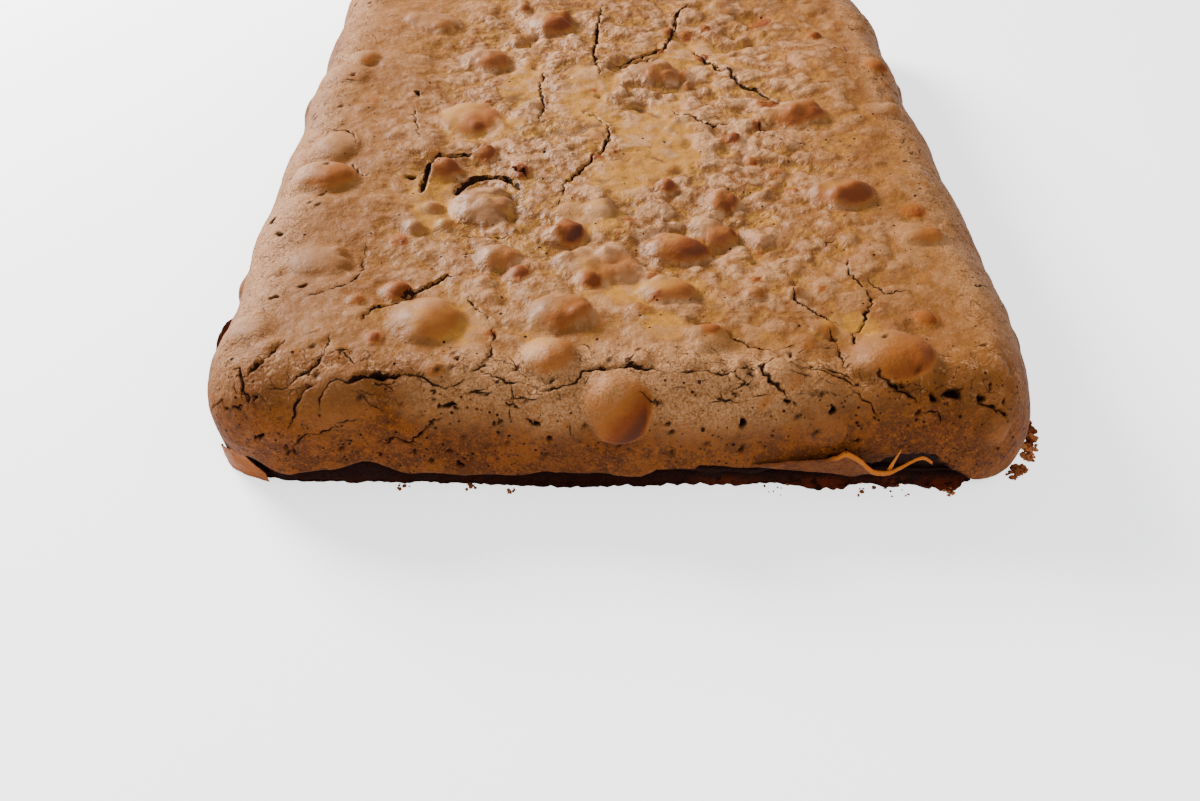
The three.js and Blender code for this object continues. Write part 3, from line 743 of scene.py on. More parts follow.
def close_underneath(mesh):
    """Carries the foot's rim inwards over the flat underside, to one point in the middle."""
    for share in (0.96, 0.6, 0):
        bmesh.ops.extrude_edge_only(mesh, edges=[edge for edge in mesh.edges if edge.is_boundary])
        inner = list({vert for edge in mesh.edges if edge.is_boundary for vert in edge.verts})
        if share:
            bmesh.ops.scale(mesh, vec=(share, share, 1), verts=inner)
        else:
            bmesh.ops.pointmerge(mesh, verts=inner, merge_co=(0, 0, 0))


def finish_piece(mesh, name, materials, facts=None, slots=None):
    """Makes a shown piece of a bmesh, in metres, riding on the slab's body."""
    data = bpy.data.meshes.new(name)
    mesh.to_mesh(data)
    mesh.free()
    piece = bpy.data.objects.new(name, data)
    bpy.context.scene.collection.objects.link(piece)
    for key, values in (facts or {}).items():
        layer = data.attributes.new(key, "FLOAT_VECTOR", "POINT")
        layer.data.foreach_set("vector", np.asarray(values, np.float32).ravel())
    data.polygons.foreach_set("use_smooth", np.ones(len(data.polygons), bool))
    for material in materials:
        data.materials.append(material)
    if slots is not None:
        data.polygons.foreach_set("material_index", slots)
    data.update()
    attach(piece, "root")
    return piece


# ---- shading helpers ----
class Value:
    """A node's output, which sums, differences and products can be written with."""

    def __init__(self, shading, socket):
        self.shading, self.socket = shading, socket

    def __add__(self, other):
        return self.shading.maths("ADD", self, other)

    def __sub__(self, other):
        return self.shading.maths("SUBTRACT", self, other)

    def __rsub__(self, other):
        return self.shading.maths("SUBTRACT", other, self)

    def __mul__(self, other):
        return self.shading.maths("MULTIPLY", self, other)

    def __rtruediv__(self, other):
        return self.shading.maths("DIVIDE", other, self)

    def __abs__(self):
        return self.shading.maths("ABSOLUTE", self)

    def held(self):
        """The same value, held between 0 and 1."""
        return self.shading.maths("ADD", self, 0.0, clamp=True)


class Shading:
    """Adds nodes to one tree, with numbers, colours, sockets or Values for their inputs."""

    def __init__(self, tree):
        self.tree = tree

    def feed(self, socket, value):
        value = getattr(value, "socket", value)
        if isinstance(value, bpy.types.NodeSocket):
            self.tree.links.new(value, socket)
        else:
            socket.default_value = (*value, 1) if isinstance(value, Color) else value

    def node(self, kind, inputs=None, **settings):
        made = self.tree.nodes.new(kind)
        for name, value in settings.items():
            setattr(made, name, value)
        for name, value in (inputs or {}).items():
            self.feed(made.inputs[name], value)
        made.location = (180 * (len(self.tree.nodes) % 12), -220 * (len(self.tree.nodes) // 12))
        return made

    def values(self, kind, inputs=None, **settings):
        """The outputs of a new node, in their order."""
        return [Value(self, socket) for socket in self.node(kind, inputs, **settings).outputs]

    def maths(self, operation, *values, clamp=False):
        inputs = dict(enumerate(values))
        return self.values("ShaderNodeMath", inputs, operation=operation, use_clamp=clamp)[0]

    def vector_maths(self, operation, inputs):
        return self.node("ShaderNodeVectorMath", inputs, operation=operation).outputs[0]

    def most(self, first, *others):
        """The largest of several values."""
        for other in others:
            first = self.maths("MAXIMUM", first, other)
        return first

    def span(self, value, low, high, from_value=0.0, to_value=1.0):
        """A smooth way from one number to another as a value goes from low to high."""
        inputs = {"Value": value, "From Min": low, "From Max": high, "To Min": from_value, "To Max": to_value}
        return self.values("ShaderNodeMapRange", inputs, interpolation_type="SMOOTHSTEP")[0]

    def layers(self, colour, *laid):
        """A colour with others laid over it in turn, each by its own share."""
        for share, over in laid:
            made = self.node("ShaderNodeMix", data_type="RGBA")
            for index, value in ((0, share), (6, colour), (7, over)):
                self.feed(made.inputs[index], value)
            colour = made.outputs[2]
        return colour

    def noise(self, where, length, detail=3.0, rough=0.55):
        inputs = {"Vector": where, "Scale": 1 / length, "Detail": detail, "Roughness": rough}
        return self.values("ShaderNodeTexNoise", inputs)[0]

    def cells(self, where, length, feature="F1"):
        """The distance and the colour of cells of an average width."""
        inputs = {"Vector": where, "Scale": 1 / length, "Randomness": 1.0}
        return self.values("ShaderNodeTexVoronoi", inputs, feature=feature)[:2]

    def parts(self, name):
        """The three numbers of a piece's own attribute."""
        read = self.node("ShaderNodeAttribute", attribute_name=name)
        return self.values("ShaderNodeSeparateXYZ", {"Vector": read.outputs["Vector"]})

    def millimetres(self):
        """The piece's own coordinates in millimetres."""
        place = self.node("ShaderNodeTexCoord").outputs["Object"]
        return self.vector_maths("SCALE", {0: place, "Scale": 1 / MM})

    def jostled(self, where, length, amount):
        """Places moved about by noise, so that patterns on them have uneven edges."""
        shake = self.node("ShaderNodeTexNoise", {"Vector": where, "Scale": 1 / length, "Detail": 2.0})
        centred = self.vector_maths("SUBTRACT", {0: shake.outputs["Color"], 1: (0.5,) * 3})
        return self.vector_maths("MULTIPLY_ADD", {0: centred, 1: (amount,) * 3, 2: where})


def baked_grain(shading, source):
    """A fine leathery grain, as height in millimetres and as a mottle from 0 to 1."""
    where = source["Where"]
    leather = shading.cells(shading.jostled(where, 2.0, 0.8), 1.25, "SMOOTH_F1")[0]
    fine = shading.noise(where, 0.75, 5.0, 0.6)
    broad = shading.noise(where, 3.0, 4.0, 0.6)
    height = leather * 0.2 + fine * 0.24 + broad * 0.5
    return {"Height": height * source["Depth"], "Mottle": fine * 0.45 + broad * 0.6}


def pin_holes(shading, source):
    """Round pinholes in a share of the cells, as a mask."""
    where = shading.jostled(source["Where"], 1.1, 0.35)
    distance, tint = shading.cells(where, source["Spacing"])
    pick, size, unused = shading.values("ShaderNodeSeparateColor", {"Color": tint})
    inside = ((size * 0.14 + 0.1 - distance) * 16.0).held()
    return {"Mask": inside * shading.maths("LESS_THAN", pick, source["Share"])}


def hair_cracks(shading, source):
    """Short hairlines along the borders of uneven cells, as a mask."""
    where = shading.jostled(shading.jostled(source["Where"], 5.0, 3.5), 0.9, 0.9)
    border = shading.cells(where, source["Spacing"], "DISTANCE_TO_EDGE")[0]
    line = shading.span(border * source["Spacing"], 0.14, 0.04)
    limit = 0.78 - source["Share"] * 0.26
    return {"Mask": line * shading.span(shading.noise(source["Where"], 3.2, 2.0) - limit, -0.02, 0.04)}


# The shared effects: inputs beside the place, with their defaults, then outputs and what builds them.
EFFECTS = {
    "Baked grain": ({"Depth": 1.0}, ("Height", "Mottle"), baked_grain),
    "Pin holes": ({"Spacing": 3.0, "Share": 0.3}, ("Mask",), pin_holes),
    "Hair cracks": ({"Spacing": 3.0, "Share": 0.3}, ("Mask",), hair_cracks),
}


def effect(name):
    """One of the shared effects as a node group, made once."""
    if name in bpy.data.node_groups:
        return bpy.data.node_groups[name]
    inputs, outputs, build = EFFECTS[name]
    tree = bpy.data.node_groups.new(name, "ShaderNodeTree")
    tree.interface.new_socket(name="Where", in_out="INPUT", socket_type="NodeSocketVector")
    for label, default in inputs.items():
        socket = tree.interface.new_socket(name=label, in_out="INPUT", socket_type="NodeSocketFloat")
        socket.default_value = default
    for label in outputs:
        tree.interface.new_socket(name=label, in_out="OUTPUT", socket_type="NodeSocketFloat")
    shading = Shading(tree)
    source = {socket.name: Value(shading, socket) for socket in shading.node("NodeGroupInput").outputs}
    shading.node("NodeGroupOutput", build(shading, source))
    return tree


def use_effect(shading, name, **inputs):
    """Places one of the shared effects in a material, and gives its outputs by name."""
    made = shading.node("ShaderNodeGroup", node_tree=effect(name))
    for label, value in inputs.items():
        shading.feed(made.inputs[label], value)
    return {socket.name: Value(shading, socket) for socket in made.outputs}


def new_material(name):
    material = bpy.data.materials.new(name)
    material.use_nodes = True
    return material, Shading(material.node_tree), material.node_tree.nodes["Principled BSDF"]


def dress(shading, surface, height, **inputs):
    """Feeds a surface its inputs and its relief, a height in millimetres."""
    bump = shading.node("ShaderNodeBump", {"Height": height, "Strength": 1.0, "Distance": MM})
    for label, value in inputs.items():
        shading.feed(surface.inputs[label.replace("_", " ")], value)
    for label in ("Normal", "Coat Normal"):
        shading.feed(surface.inputs[label], bump.outputs["Normal"])


# ---- materials ----
def crack_lines(shading, where):
    """The dark lines of the cracks, from how far each place lies from the nearest ones."""
    jitter = shading.noise(where, 0.9, 3.0, 0.65) - 0.5
    uneven = shading.span(shading.noise(where, 2.4, 3.0, 0.65), 0.34, 0.64, 0.55, 1.8)
    lines = []
    for label in ("a", "b"):
        gaps, halves = shading.parts(f"crack_near_{label}"), shading.parts(f"crack_half_{label}")
        for gap, half in zip(gaps, halves):
            stray = jitter * shading.span(half, 0.6, 1.1, 0.75, 0.3)
            wide = shading.most(half * uneven, half - 0.3)
            line = ((wide - abs(stray + gap)) * 6.0 + 0.4).held()
            lines.append(line * (half * 12.0).held())
    return shading.most(*lines)


def openings(shading, where, side, cap, push, middle, run):
    """Pinholes and hairlines, most of them on the sides and few on the blisters."""
    share = side * 0.5 + 0.1
    large = use_effect(shading, "Pin holes", Where=where, Spacing=2.1, Share=share)["Mask"]
    small = use_effect(shading, "Pin holes", Where=where, Spacing=1.3, Share=share)["Mask"]
    band = shading.span(run, 0.0, 9.0) * shading.span(run, 33.0, 18.0)
    band = shading.most(band, shading.span(middle, 0.5, 0.0, 0.25, 0.4))
    hairs = use_effect(shading, "Hair cracks", Where=where, Spacing=4.5, Share=band)["Mask"]
    return shading.most(large, small * 0.85) * (1 - cap * 0.95), hairs * band * shading.span(push, 1.2, 0.2)


def baked_skin_material(colours):
    material, shading, surface = new_material("Baked skin")
    where = shading.millimetres()
    run, toast_and_shade, film = shading.parts("skin_zone")
    dry, crumb, hole = shading.parts("skin_form")
    push, tops, middle = shading.parts("skin_rise")
    cap = shading.span(push, 0.3, 1.4)
    side = shading.span(run, 6.0, 26.0)
    top = shading.span(run, 20.0, 5.0)
    depth = (shading.span(run, 3.0, 12.0) * 0.75 + 0.3) * (1 - cap * 0.4)
    grain = use_effect(shading, "Baked grain", Where=where, Depth=depth)
    mottle = grain["Mottle"]
    broad = shading.noise(where, 24.0, 3.0)
    patchy = shading.noise(where, 8.0, 4.0, 0.6)
    fleck = shading.noise(shading.jostled(where, 3.0, 1.5), 2.2, 3.0, 0.65)
    grit = shading.noise(where, 0.55, 2.0, 0.6)
    pores, hairs = openings(shading, where, side, cap, push, middle, run)
    dark = shading.most(crack_lines(shading, where), shading.most(pores, hole), hairs * 0.5)

    # the skin of the middle, high and low; the high lumps are paler, dry skin with painted sheen on their
    # tops
    frayed = (patchy - 0.5) * 1.3 + tops
    high = shading.span(frayed, 0.46, 0.78)
    low = shading.span(frayed, 0.45, 0.1) * middle
    pool = shading.most(shading.span(film, 0.25, 0.6), low) * (1 - high * 0.8)
    # painted shade in the creases between the lumps of the middle
    painted_crease_shade = shading.span(tops, 0.27, 0.0) * middle
    # the skin of the sides
    flush = shading.layers(
        colours.side,
        (shading.span((fleck - 0.5) * 0.8 + patchy, 0.38, 0.64), colours.side_flush),
        (shading.span(fleck, 0.42, 0.3, 0.0, 0.5), colours.scorched_and_shade),
        (shading.span(grit, 0.44, 0.32, 0.0, 0.6), colours.scorched_and_shade),
        (shading.span(grit, 0.55, 0.68, 0.0, 0.6), colours.blush),
    )
    # the dry bloom over the shoulder, with painted glints, and the pale caps of cooler blisters, a painted
    # highlight on the side of each cap towards the window light
    dusty = shading.span(mottle, 0.5, 0.38) * depth * (0.9 - side * 0.9)
    powder_and_glint = dry.held() * shading.span((grit - 0.5) * 1.6 + mottle, 0.96, 0.14)
    painted_cap_highlight = cap * top * shading.span(toast_and_shade, 0.35, 0.1, 0.0, 0.16)
    # how far a blister is toasted, with painted shade on its side away from the window light, in blotches
    heat = toast_and_shade + (patchy - 0.5) * shading.span(toast_and_shade, 0.0, 0.3, 0.0, 0.6)
    colour = shading.layers(
        colours.skin,
        (shading.span(broad, 0.35, 0.65), colours.skin_deep),
        # high lumps paler: dry skin with painted sheen
        (high * (middle * 0.7 + 0.1) * top, colours.pale_and_sheen),
        (side * (0.92 - dry * 0.75).held(), flush),
        ((dry * -1.0).held(), colours.skin_deep),
        (pool * top, colours.film),
        # painted shade laid into the creases between the lumps
        (painted_crease_shade * 0.85, colours.crease_shade),
        (shading.span(mottle, 0.5, 0.66) * top * depth, colours.skin_deep),
        # dry bloom, with painted glints in the powder over the shoulder
        (shading.most(dusty, powder_and_glint) * 0.8, colours.pale_and_sheen),
        # painted highlight on the blister caps towards the window light
        (painted_cap_highlight, colours.pale_and_sheen),
        (shading.span(heat, 0.08, 0.5, 0.0, 0.9), colours.blush),
        # far sides of blisters: toasting with painted shade
        (shading.span(heat, 0.35, 0.85), colours.toast_and_shade),
        # darkest caps on their far sides: burnt skin with painted shade
        (shading.span(toast_and_shade, 0.8, 1.0, 0.0, 0.9), colours.dark_toast_and_shade),
        # cracks, pinholes and holes painted near black: moist crumb with painted shade in the recesses
        (dark * 0.94, colours.crack),
        # the lip's underside and the torn skin take the foot's dark crumb colour, darkened as painted shade
        # under the overhang
        (crumb, colours.scorched_and_shade),
    )

    wrinkle = shading.noise(shading.jostled(where, 4.0, 2.2), 2.7, 3.0, 0.6)
    small = shading.cells(shading.jostled(where, 3.0, 1.6), 2.3, "SMOOTH_F1")[0]
    creased = (top * middle * 0.95 + 0.3) * (1 - cap * 0.7) * shading.span(film, 0.2, 0.7, 1.0, 0.25)
    satin = (middle * 0.4 + 0.06) * top + cap * 0.1
    satin = satin * shading.span(heat, 0.2, 0.7, 1.0, 0.45) * (1 - dark)
    dress(
        shading, surface, grain["Height"] + (wrinkle - small * 0.75) * creased - dark * 0.55,
        Base_Color=colour, Roughness=(mottle * 0.3 + 0.5 + dark * 0.3).held(), Specular_IOR_Level=0.1,
        Coat_Weight=satin.held(), Coat_Roughness=0.44, Coat_IOR=1.35,
    )
    return material


def peeled_skin_material(colours):
    material, shading, surface = new_material("Peeled skin")
    where = shading.millimetres()
    grain = use_effect(shading, "Baked grain", Where=where, Depth=0.6)
    pores = use_effect(shading, "Pin holes", Where=where, Spacing=2.2, Share=0.15)["Mask"]
    curl, scorch, unused = shading.parts("skin_curl")
    colour = shading.layers(
        colours.side_flush,
        (shading.span(grain["Mottle"], 0.35, 0.7), colours.side),
        (curl, colours.peel),
        (scorch, colours.ember),
        # pinholes painted dark: crumb with painted shade in them
        (pores, colours.crack),
    )
    rough = grain["Mottle"] * 0.3 + 0.35
    dress(shading, surface, grain["Height"], Base_Color=colour, Roughness=rough, Specular_IOR_Level=0.1)
    return material


def crumb_material(name, dark, warmth, warm_height):
    """Rough crumb that is warmer up to a height in millimetres."""
    material, shading, surface = new_material(name)
    where = shading.millimetres()
    grain = use_effect(shading, "Baked grain", Where=where, Depth=2.0)
    pores = use_effect(shading, "Pin holes", Where=where, Spacing=1.3, Share=0.5)["Mask"]
    up = shading.values("ShaderNodeSeparateXYZ", {"Vector": where})[2]
    warm = shading.span(shading.noise(where, 2.4, 3.0), 0.34, 0.54)
    warm = warm * shading.span(up, warm_height, warm_height * 0.2) * shading.parts("crumb_warmth")[0]
    colour = shading.layers(dark, (warm, warmth), (pores, dark))
    height, rough = grain["Height"] - pores * 0.4, grain["Mottle"] * 0.4 + 0.45
    dress(shading, surface, height, Base_Color=colour, Roughness=rough, Specular_IOR_Level=0.04)
    return material


# ---- settings ----
def colour_setting(name, about, default):
    return bpy.props.FloatVectorProperty(
        name=name, description=about, subtype="COLOR", size=3, min=0, max=1, default=default
    )


def length_setting(name, about, default, least, most):
    return bpy.props.FloatProperty(
        name=name, description=about, unit="LENGTH", precision=5,
        default=default * MM, min=least * MM, max=most * MM,
    )


def number_setting(name, about, default, most, least=0):
    return bpy.props.FloatProperty(name=name, description=about, default=default, min=least, max=most)


class BROWNIE_PG_sizes(bpy.types.PropertyGroup):
    cell: length_setting("Skin cell", "Spacing of the skin's mesh over the flat middle", 1.12, 0.5, 5)
    peel_thickness: length_setting("Peel thickness", "Thickness of the peeled strip of skin", 0.5, 0.2, 2)
    crumb_size: length_setting("Crumb size", "Half the width of an average loose crumb", 0.9, 0.3, 3)


class BROWNIE_PG_colours(bpy.types.PropertyGroup):
    skin: colour_setting("Skin", "Most of the baked skin", (0.208, 0.076, 0.0135))
    skin_deep: colour_setting("Deeper skin", "Browner patches of the skin", (0.165, 0.054, 0.008))
    # dry skin of the high places, with painted sheen on the tops of the lumps
    pale_and_sheen: colour_setting("Pale skin", "Dry high places of the skin", (0.44, 0.215, 0.095))
    # painted shade for the creases between the lumps of the skin
    crease_shade: colour_setting("Hollow", "Creases between the lumps of the skin", (0.08, 0.026, 0.005))
    side: colour_setting("Side skin", "Skin over the shoulder and the sides", (0.078, 0.017, 0.0014))
    side_flush: colour_setting("Flushed side", "Lighter orange patches of the sides", (0.16, 0.04, 0.0026))
    film: colour_setting("Clear film", "Golden places where the skin is thin", (0.34, 0.14, 0.014))
    blush: colour_setting("Blush", "Warm skin over a blister", (0.26, 0.076, 0.009))
    # toasting of a blister's far side, with painted shade away from the window light
    toast_and_shade: colour_setting("Toasted blister", "Far side of a blister", (0.135, 0.026, 0.0015))
    # burnt caps, darkest on their far side where painted shade is laid
    dark_toast_and_shade: colour_setting("Burnt blister", "The darkest caps", (0.05, 0.009, 0.002))
    peel: colour_setting("Peeled skin", "Strip that has peeled away", (0.42, 0.11, 0.008))
    # crumb with painted shade deep in the cracks and pinholes
    crack: colour_setting("Crack", "Moist crumb deep in a crack", (0.01, 0.003, 0.002))
    # dark crumb of the foot, darkened further as painted shade under the lip's overhang
    scorched_and_shade: colour_setting("Scorched crumb", "Dark foot and crumbs", (0.014, 0.0035, 0.002))
    ember: colour_setting("Red crumb", "Redder parts of the foot", (0.1, 0.016, 0.005))
    loose: colour_setting("Loose crumb", "Lighter parts of the loose crumbs", (0.42, 0.14, 0.045))
    floor: colour_setting("Floor", "Plain pale floor", (0.95, 0.955, 0.955))


class BROWNIE_PG_stage(bpy.types.PropertyGroup):
    floor_glow: number_setting("Floor glow", "Light that the pale floor gives back all round", 0.6, 10)
    floor_seen: number_setting("Floor brightness", "Extra brightness of the floor as it is seen", 0.9, 10)
    lens: number_setting("Lens", "Focal length on a sensor 36 mm wide", 32.4, 200, 10)
    window: number_setting("Window light", "Watts of the soft light from behind on the left", 31, 1000)
    sky: number_setting("Room light", "Strength of the even light from all round", 0.72, 10)


# ---- operators ----
class BROWNIE_OT_slab(bpy.types.Operator):
    """Builds the slab with its blistered and cracked skin"""

    bl_idname = "brownie.slab"
    bl_label = "Slab"

    def execute(self, context):
        scene = context.scene
        cell = scene.brownie_sizes.cell / MM
        cracks, holes = all_cracks(), pits()
        lines = [grid_lines(core, cell) for core in (CORE_X, CORE_Y)]
        mesh = bmesh.new()
        counts = [len(line) - 1 for line in lines]
        bmesh.ops.create_grid(mesh, x_segments=counts[0], y_segments=counts[1], size=1)
        for vert in mesh.verts:
            for axis in (0, 1):
                step = round((vert.co[axis] + 1) / 2 * counts[axis])
                vert.co[axis] = lines[axis][step]
        mesh.verts.index_update()
        for reach, least_half, least_hole in FINER:
            refine(mesh, cracks, holes, reach, least_half, least_hole)
        flat = np.array([vert.co.xy for vert in mesh.verts])
        made, facts = skin(flat[:, 0], flat[:, 1], cracks, holes)
        for vert, place in zip(mesh.verts, made):
            vert.co = place * MM
        close_underneath(mesh)
        bmesh.ops.recalc_face_normals(mesh, faces=mesh.faces)
        extra = len(mesh.verts) - len(flat)
        facts = {key: np.vstack([values, np.tile(values[0], (extra, 1))]) for key, values in facts.items()}
        # faces beyond the lip's edge and the underside take the second material: dark crumb with painted
        # shade under the overhang
        under = np.append(drape(flat[:, 0], flat[:, 1])[0] > LIP_END, np.ones(extra, bool))
        mesh.verts.index_update()
        slots = [int(all(under[vert.index] for vert in face.verts)) for face in mesh.faces]
        colours = scene.brownie_colours
        scorched_and_shade = crumb_material("Scorched crumb", colours.scorched_and_shade, colours.ember, 3.2)
        piece = finish_piece(mesh, "brownie_slab", [baked_skin_material(colours), scorched_and_shade], facts, slots)
        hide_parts("brownie")
        return {"FINISHED"}


# The free edge of the peeled strip: across, height, and how far it stands off the side.
PEEL_EDGE = (
    (30, 8.6, 0.1),
    (38.6, 10.2, 0.5),
    (43.2, 10.9, 0.8),
    (46, 11.4, 1.0),
    (48.5, 12.9, 1.3),
    (50.6, 14.7, 1.6),
    (52.8, 14.4, 2.0),
    (55.2, 12.5, 2.3),
    (57, 10.6, 2.6),
    (59.2, 9.7, 2.7),
    (62, 9.9, 2.7),
    (64.5, 11.6, 2.5),
    (67.5, 13.4, 2.2),
    (69.2, 13.6, 2.0),
    (71.5, 11.6, 1.5),
)
RIBBON_FROM, RIBBON_WIDTH = 55.0, 1.4
# Lower edge of the strip: across, height.
PEEL_FOOT = ((30, 8.4), (39, 7.4), (43.5, 7.0), (49, 6.6), (53.5, 5.8), (58, 6.4), (71.5, 9.0))
ROLL_PART, ROLL_TURN, ROLL_SIZE = 0.7, 4.4, 0.5
# The free edge of the side flap: place along, place across, height. Its root: place across, height.
FLAP_EDGE = (
    (-95, -99.5, 9.5),
    (-92.5, -101.8, 11.0),
    (-90, -103.2, 11.6),
    (-84, -103.5, 12.0),
    (-77, -103.2, 12.4),
    (-71, -102.4, 12.8),
    (-65, -99.0, 13.4),
)
FLAP_ROOT = (-97.8, 3.5)
FLAKE_SHADE, FLAP_SCORCH = 0.4, 0.55
# The flake of skin that reaches the floor at the split corner: angle in degrees, top height.
FLAKE_TOP = (
    (205, 2.6), (209, 4.6), (214, 6.2), (221, 7.6), (229, 8.8),
    (234, 8.8), (238, 7.2), (242, 5.4), (248, 3.6),
)


def eased(table, across):
    """Values of a table at a place across, on a smooth curve through its rows."""
    rows = np.array(table, float)
    index = int(np.clip(np.searchsorted(rows[:, 0], across) - 1, 0, len(rows) - 2))
    low, high = rows[index], rows[index + 1]
    share = (across - low[0]) / (high[0] - low[0])
    before, after = rows[max(index - 1, 0)], rows[min(index + 2, len(rows) - 1)]
    tangent_low = (high - before) / (high[0] - before[0]) * (high[0] - low[0])
    tangent_high = (after - low) / (after[0] - low[0]) * (high[0] - low[0])
    s2, s3 = share ** 2, share ** 3
    value = (2 * s3 - 3 * s2 + 1) * low + (s3 - 2 * s2 + share) * tangent_low
    return (value + (3 * s2 - 2 * s3) * high + (s3 - s2) * tangent_high)[1:]


def sheet(mesh, columns, rows, place, thick):
    """Adds a thin sheet of skin, placed in millimetres by its share of the way along and up."""
    verts = bmesh.ops.create_grid(mesh, x_segments=columns, y_segments=rows, size=1)["verts"]
    for vert in verts:
        vert.co = Vector(place((vert.co.x + 1) / 2, (vert.co.y + 1) / 2)) * MM
    bmesh.ops.solidify(mesh, geom=list({face for vert in verts for face in vert.link_faces}), thickness=thick)


def strip_place(share, up):
    """The long strip that leans off the front, ending in a curled ribbon."""
    across = PEEL_EDGE[0][0] + (PEEL_EDGE[-1][0] - PEEL_EDGE[0][0]) * share
    high, stand = eased(PEEL_EDGE, across)
    high += 0.25 * noise.noise(Vector((across * 0.35, 1.0, 6.0)))
    low = np.interp(across, *np.array(PEEL_FOOT).T)
    ribbon = float(smoothstep(across, RIBBON_FROM, RIBBON_FROM + 4))
    width = RIBBON_WIDTH * (1 - 0.6 * float(smoothstep(across, 62, 71.5)))
    low = min(low, high - 0.4) * (1 - ribbon) + (high - width) * ribbon
    size = ROLL_SIZE * (0.15 + 0.85 * float(smoothstep(across, 46, 50.5) - 0.7 * smoothstep(across, 54, 71)))
    turn = max(up - ROLL_PART, 0) / (1 - ROLL_PART) * ROLL_TURN
    climb = min(up / ROLL_PART, 1)
    lean = (0.3 + 0.7 * climb) * (1 - ribbon) + ribbon
    height = low + (high - size - low) * climb + size * math.sin(turn)
    sway = 0.2 * noise.noise(Vector((across * 0.4, climb, 2.0)))
    height += 0.25 * noise.noise(Vector((across * 0.8, 5.0, 1.0))) * climb
    return across, -LENGTH / 2 - stand * lean - size * (1 - math.cos(turn)) + sway, height


def sliver_place(share, up):
    """The narrow sliver that stands beside the ribbon."""
    half = 0.5 * (1 - up) ** 0.7 + 0.05
    across = 61.6 + 1.5 * up ** 2 + half * (2 * share - 1)
    return across, -LENGTH / 2 - 2.6 - 0.5 * math.sin(up * 3), 9.8 + 6.6 * up


def flake_place(share, up):
    """The flake below the split at the left front corner."""
    degrees = FLAKE_TOP[0][0] + (FLAKE_TOP[-1][0] - FLAKE_TOP[0][0]) * share
    top = np.interp(degrees, *np.array(FLAKE_TOP).T)
    ragged = noise.noise(Vector((degrees * 0.17, up * 3, 7.0)))
    stand = 0.7 + 0.9 * float(smoothstep(degrees, 205, 216) - 2.3 * smoothstep(degrees, 215, 248))
    out = CORNER_RADIUS + stand + 0.5 * up + 0.3 * ragged
    angle = math.radians(degrees)
    height = 0.5 + (top - 0.5) * up + 0.5 * ragged * up
    return -CORE_X + out * math.cos(angle), -CORE_Y + out * math.sin(angle), height


def flap_place(share, up):
    """The dark flap of side skin that leans out low on the left."""
    y = FLAP_EDGE[0][0] + (FLAP_EDGE[-1][0] - FLAP_EDGE[0][0]) * share
    x, high = eased(FLAP_EDGE, y)
    high = FLAP_ROOT[1] + (high - FLAP_ROOT[1]) * math.sin(math.pi * share) ** 0.5
    x = FLAP_ROOT[0] + (x - FLAP_ROOT[0]) * math.sin(math.pi * share) ** 0.3
    ragged = 0.5 * noise.noise(Vector((y * 0.5, up * 2, 4.0)))
    out = (x - FLAP_ROOT[0]) * up ** 0.8
    return FLAP_ROOT[0] + out, y, FLAP_ROOT[1] + (high - FLAP_ROOT[1]) * up + ragged * up


class BROWNIE_OT_peel(bpy.types.Operator):
    """Builds the peeled strip of the front, the sliver beside it, the corner flake and the side flap"""

    bl_idname = "brownie.peel"
    bl_label = "Peeled skin"

    def execute(self, context):
        scene = context.scene
        thick = scene.brownie_sizes.peel_thickness
        mesh = bmesh.new()
        sheet(mesh, 120, 26, strip_place, thick)
        sheet(mesh, 2, 12, sliver_place, thick * 0.8)
        sheet(mesh, 36, 10, flake_place, thick * 1.4)
        sheet(mesh, 30, 6, flap_place, thick)
        bmesh.ops.recalc_face_normals(mesh, faces=mesh.faces)
        x, y, height = np.array([vert.co / MM for vert in mesh.verts]).T
        for vert in mesh.verts:
            vert.co.z = max(vert.co.z, 0.05 * MM)
        ends = PEEL_EDGE[0][0], PEEL_EDGE[-1][0]
        edge = np.array([eased(PEEL_EDGE, across)[0] for across in np.clip(x, *ends)])
        curl = (1 - smoothstep(edge - height, 0.9, 2.0)) * smoothstep(x, 46.5, 50)
        flake, flap = (x < -60) & (y < -97), (x < -60) & (y >= -97)
        shades = [np.where(flake, FLAKE_SHADE, curl), flap * FLAP_SCORCH, flap * 0]
        facts = {"skin_curl": np.stack(shades, -1)}
        finish_piece(mesh, "peeled_skin", [peeled_skin_material(scene.brownie_colours)], facts)
        return {"FINISHED"}


# Where scorched crumb has run out from under the skin: x, y, spread, reach beyond the foot, warmth.
BURSTS = (
    (-64, -122, 5, 1.0, 0.2),
    (-52, -122, 4, 1.4, 0.3),
    (-36, -122, 4, 1.4, 0.3),
    (-10, -122, 30, 2.5, 0.1),
    (25, -122, 8, 1.8, 0.7),
    (48, -122, 8, 3.6, 1.0),
    (65, -121, 4, 2.4, 1.0),
    (77, -121, 6, 4.2, 1.0),
    (-89, -115, 6, 2.8, 0.3),
    (-96, -75, 13, 4.0, 0.6),
    (-90, 108, 16, 3.2, 0.6),
    (20, 120, 14, 3.0, 0.8),
    (96, 40, 10, 3.2, 0.9),
    (96, -30, 8, 2.8, 0.7),
    (-95, 10, 8, 2.8, 0.7),
    (-40, 120, 9, 3.2, 0.6),
)


# The rim's section: a way out from the foot and a share of the reach added to it,
# then a height and a share of the lip's height added to it.
FOOT_SECTION = (
    (-2.0, 0, 0, 0),
    (0, 1, 0, 0),
    (0, 0.92, 0.35, 0),
    (0, 0.55, 0.65, 0),
    (0.45, 0.1, 0.9, 0.1),
    (0.3, 0, 0.2, 0.5),
    (0.1, 0, 0.1, 0.95),
    (-2.0, 0, 0.4, 0.9),
)
FOOT_STEPS = 1040


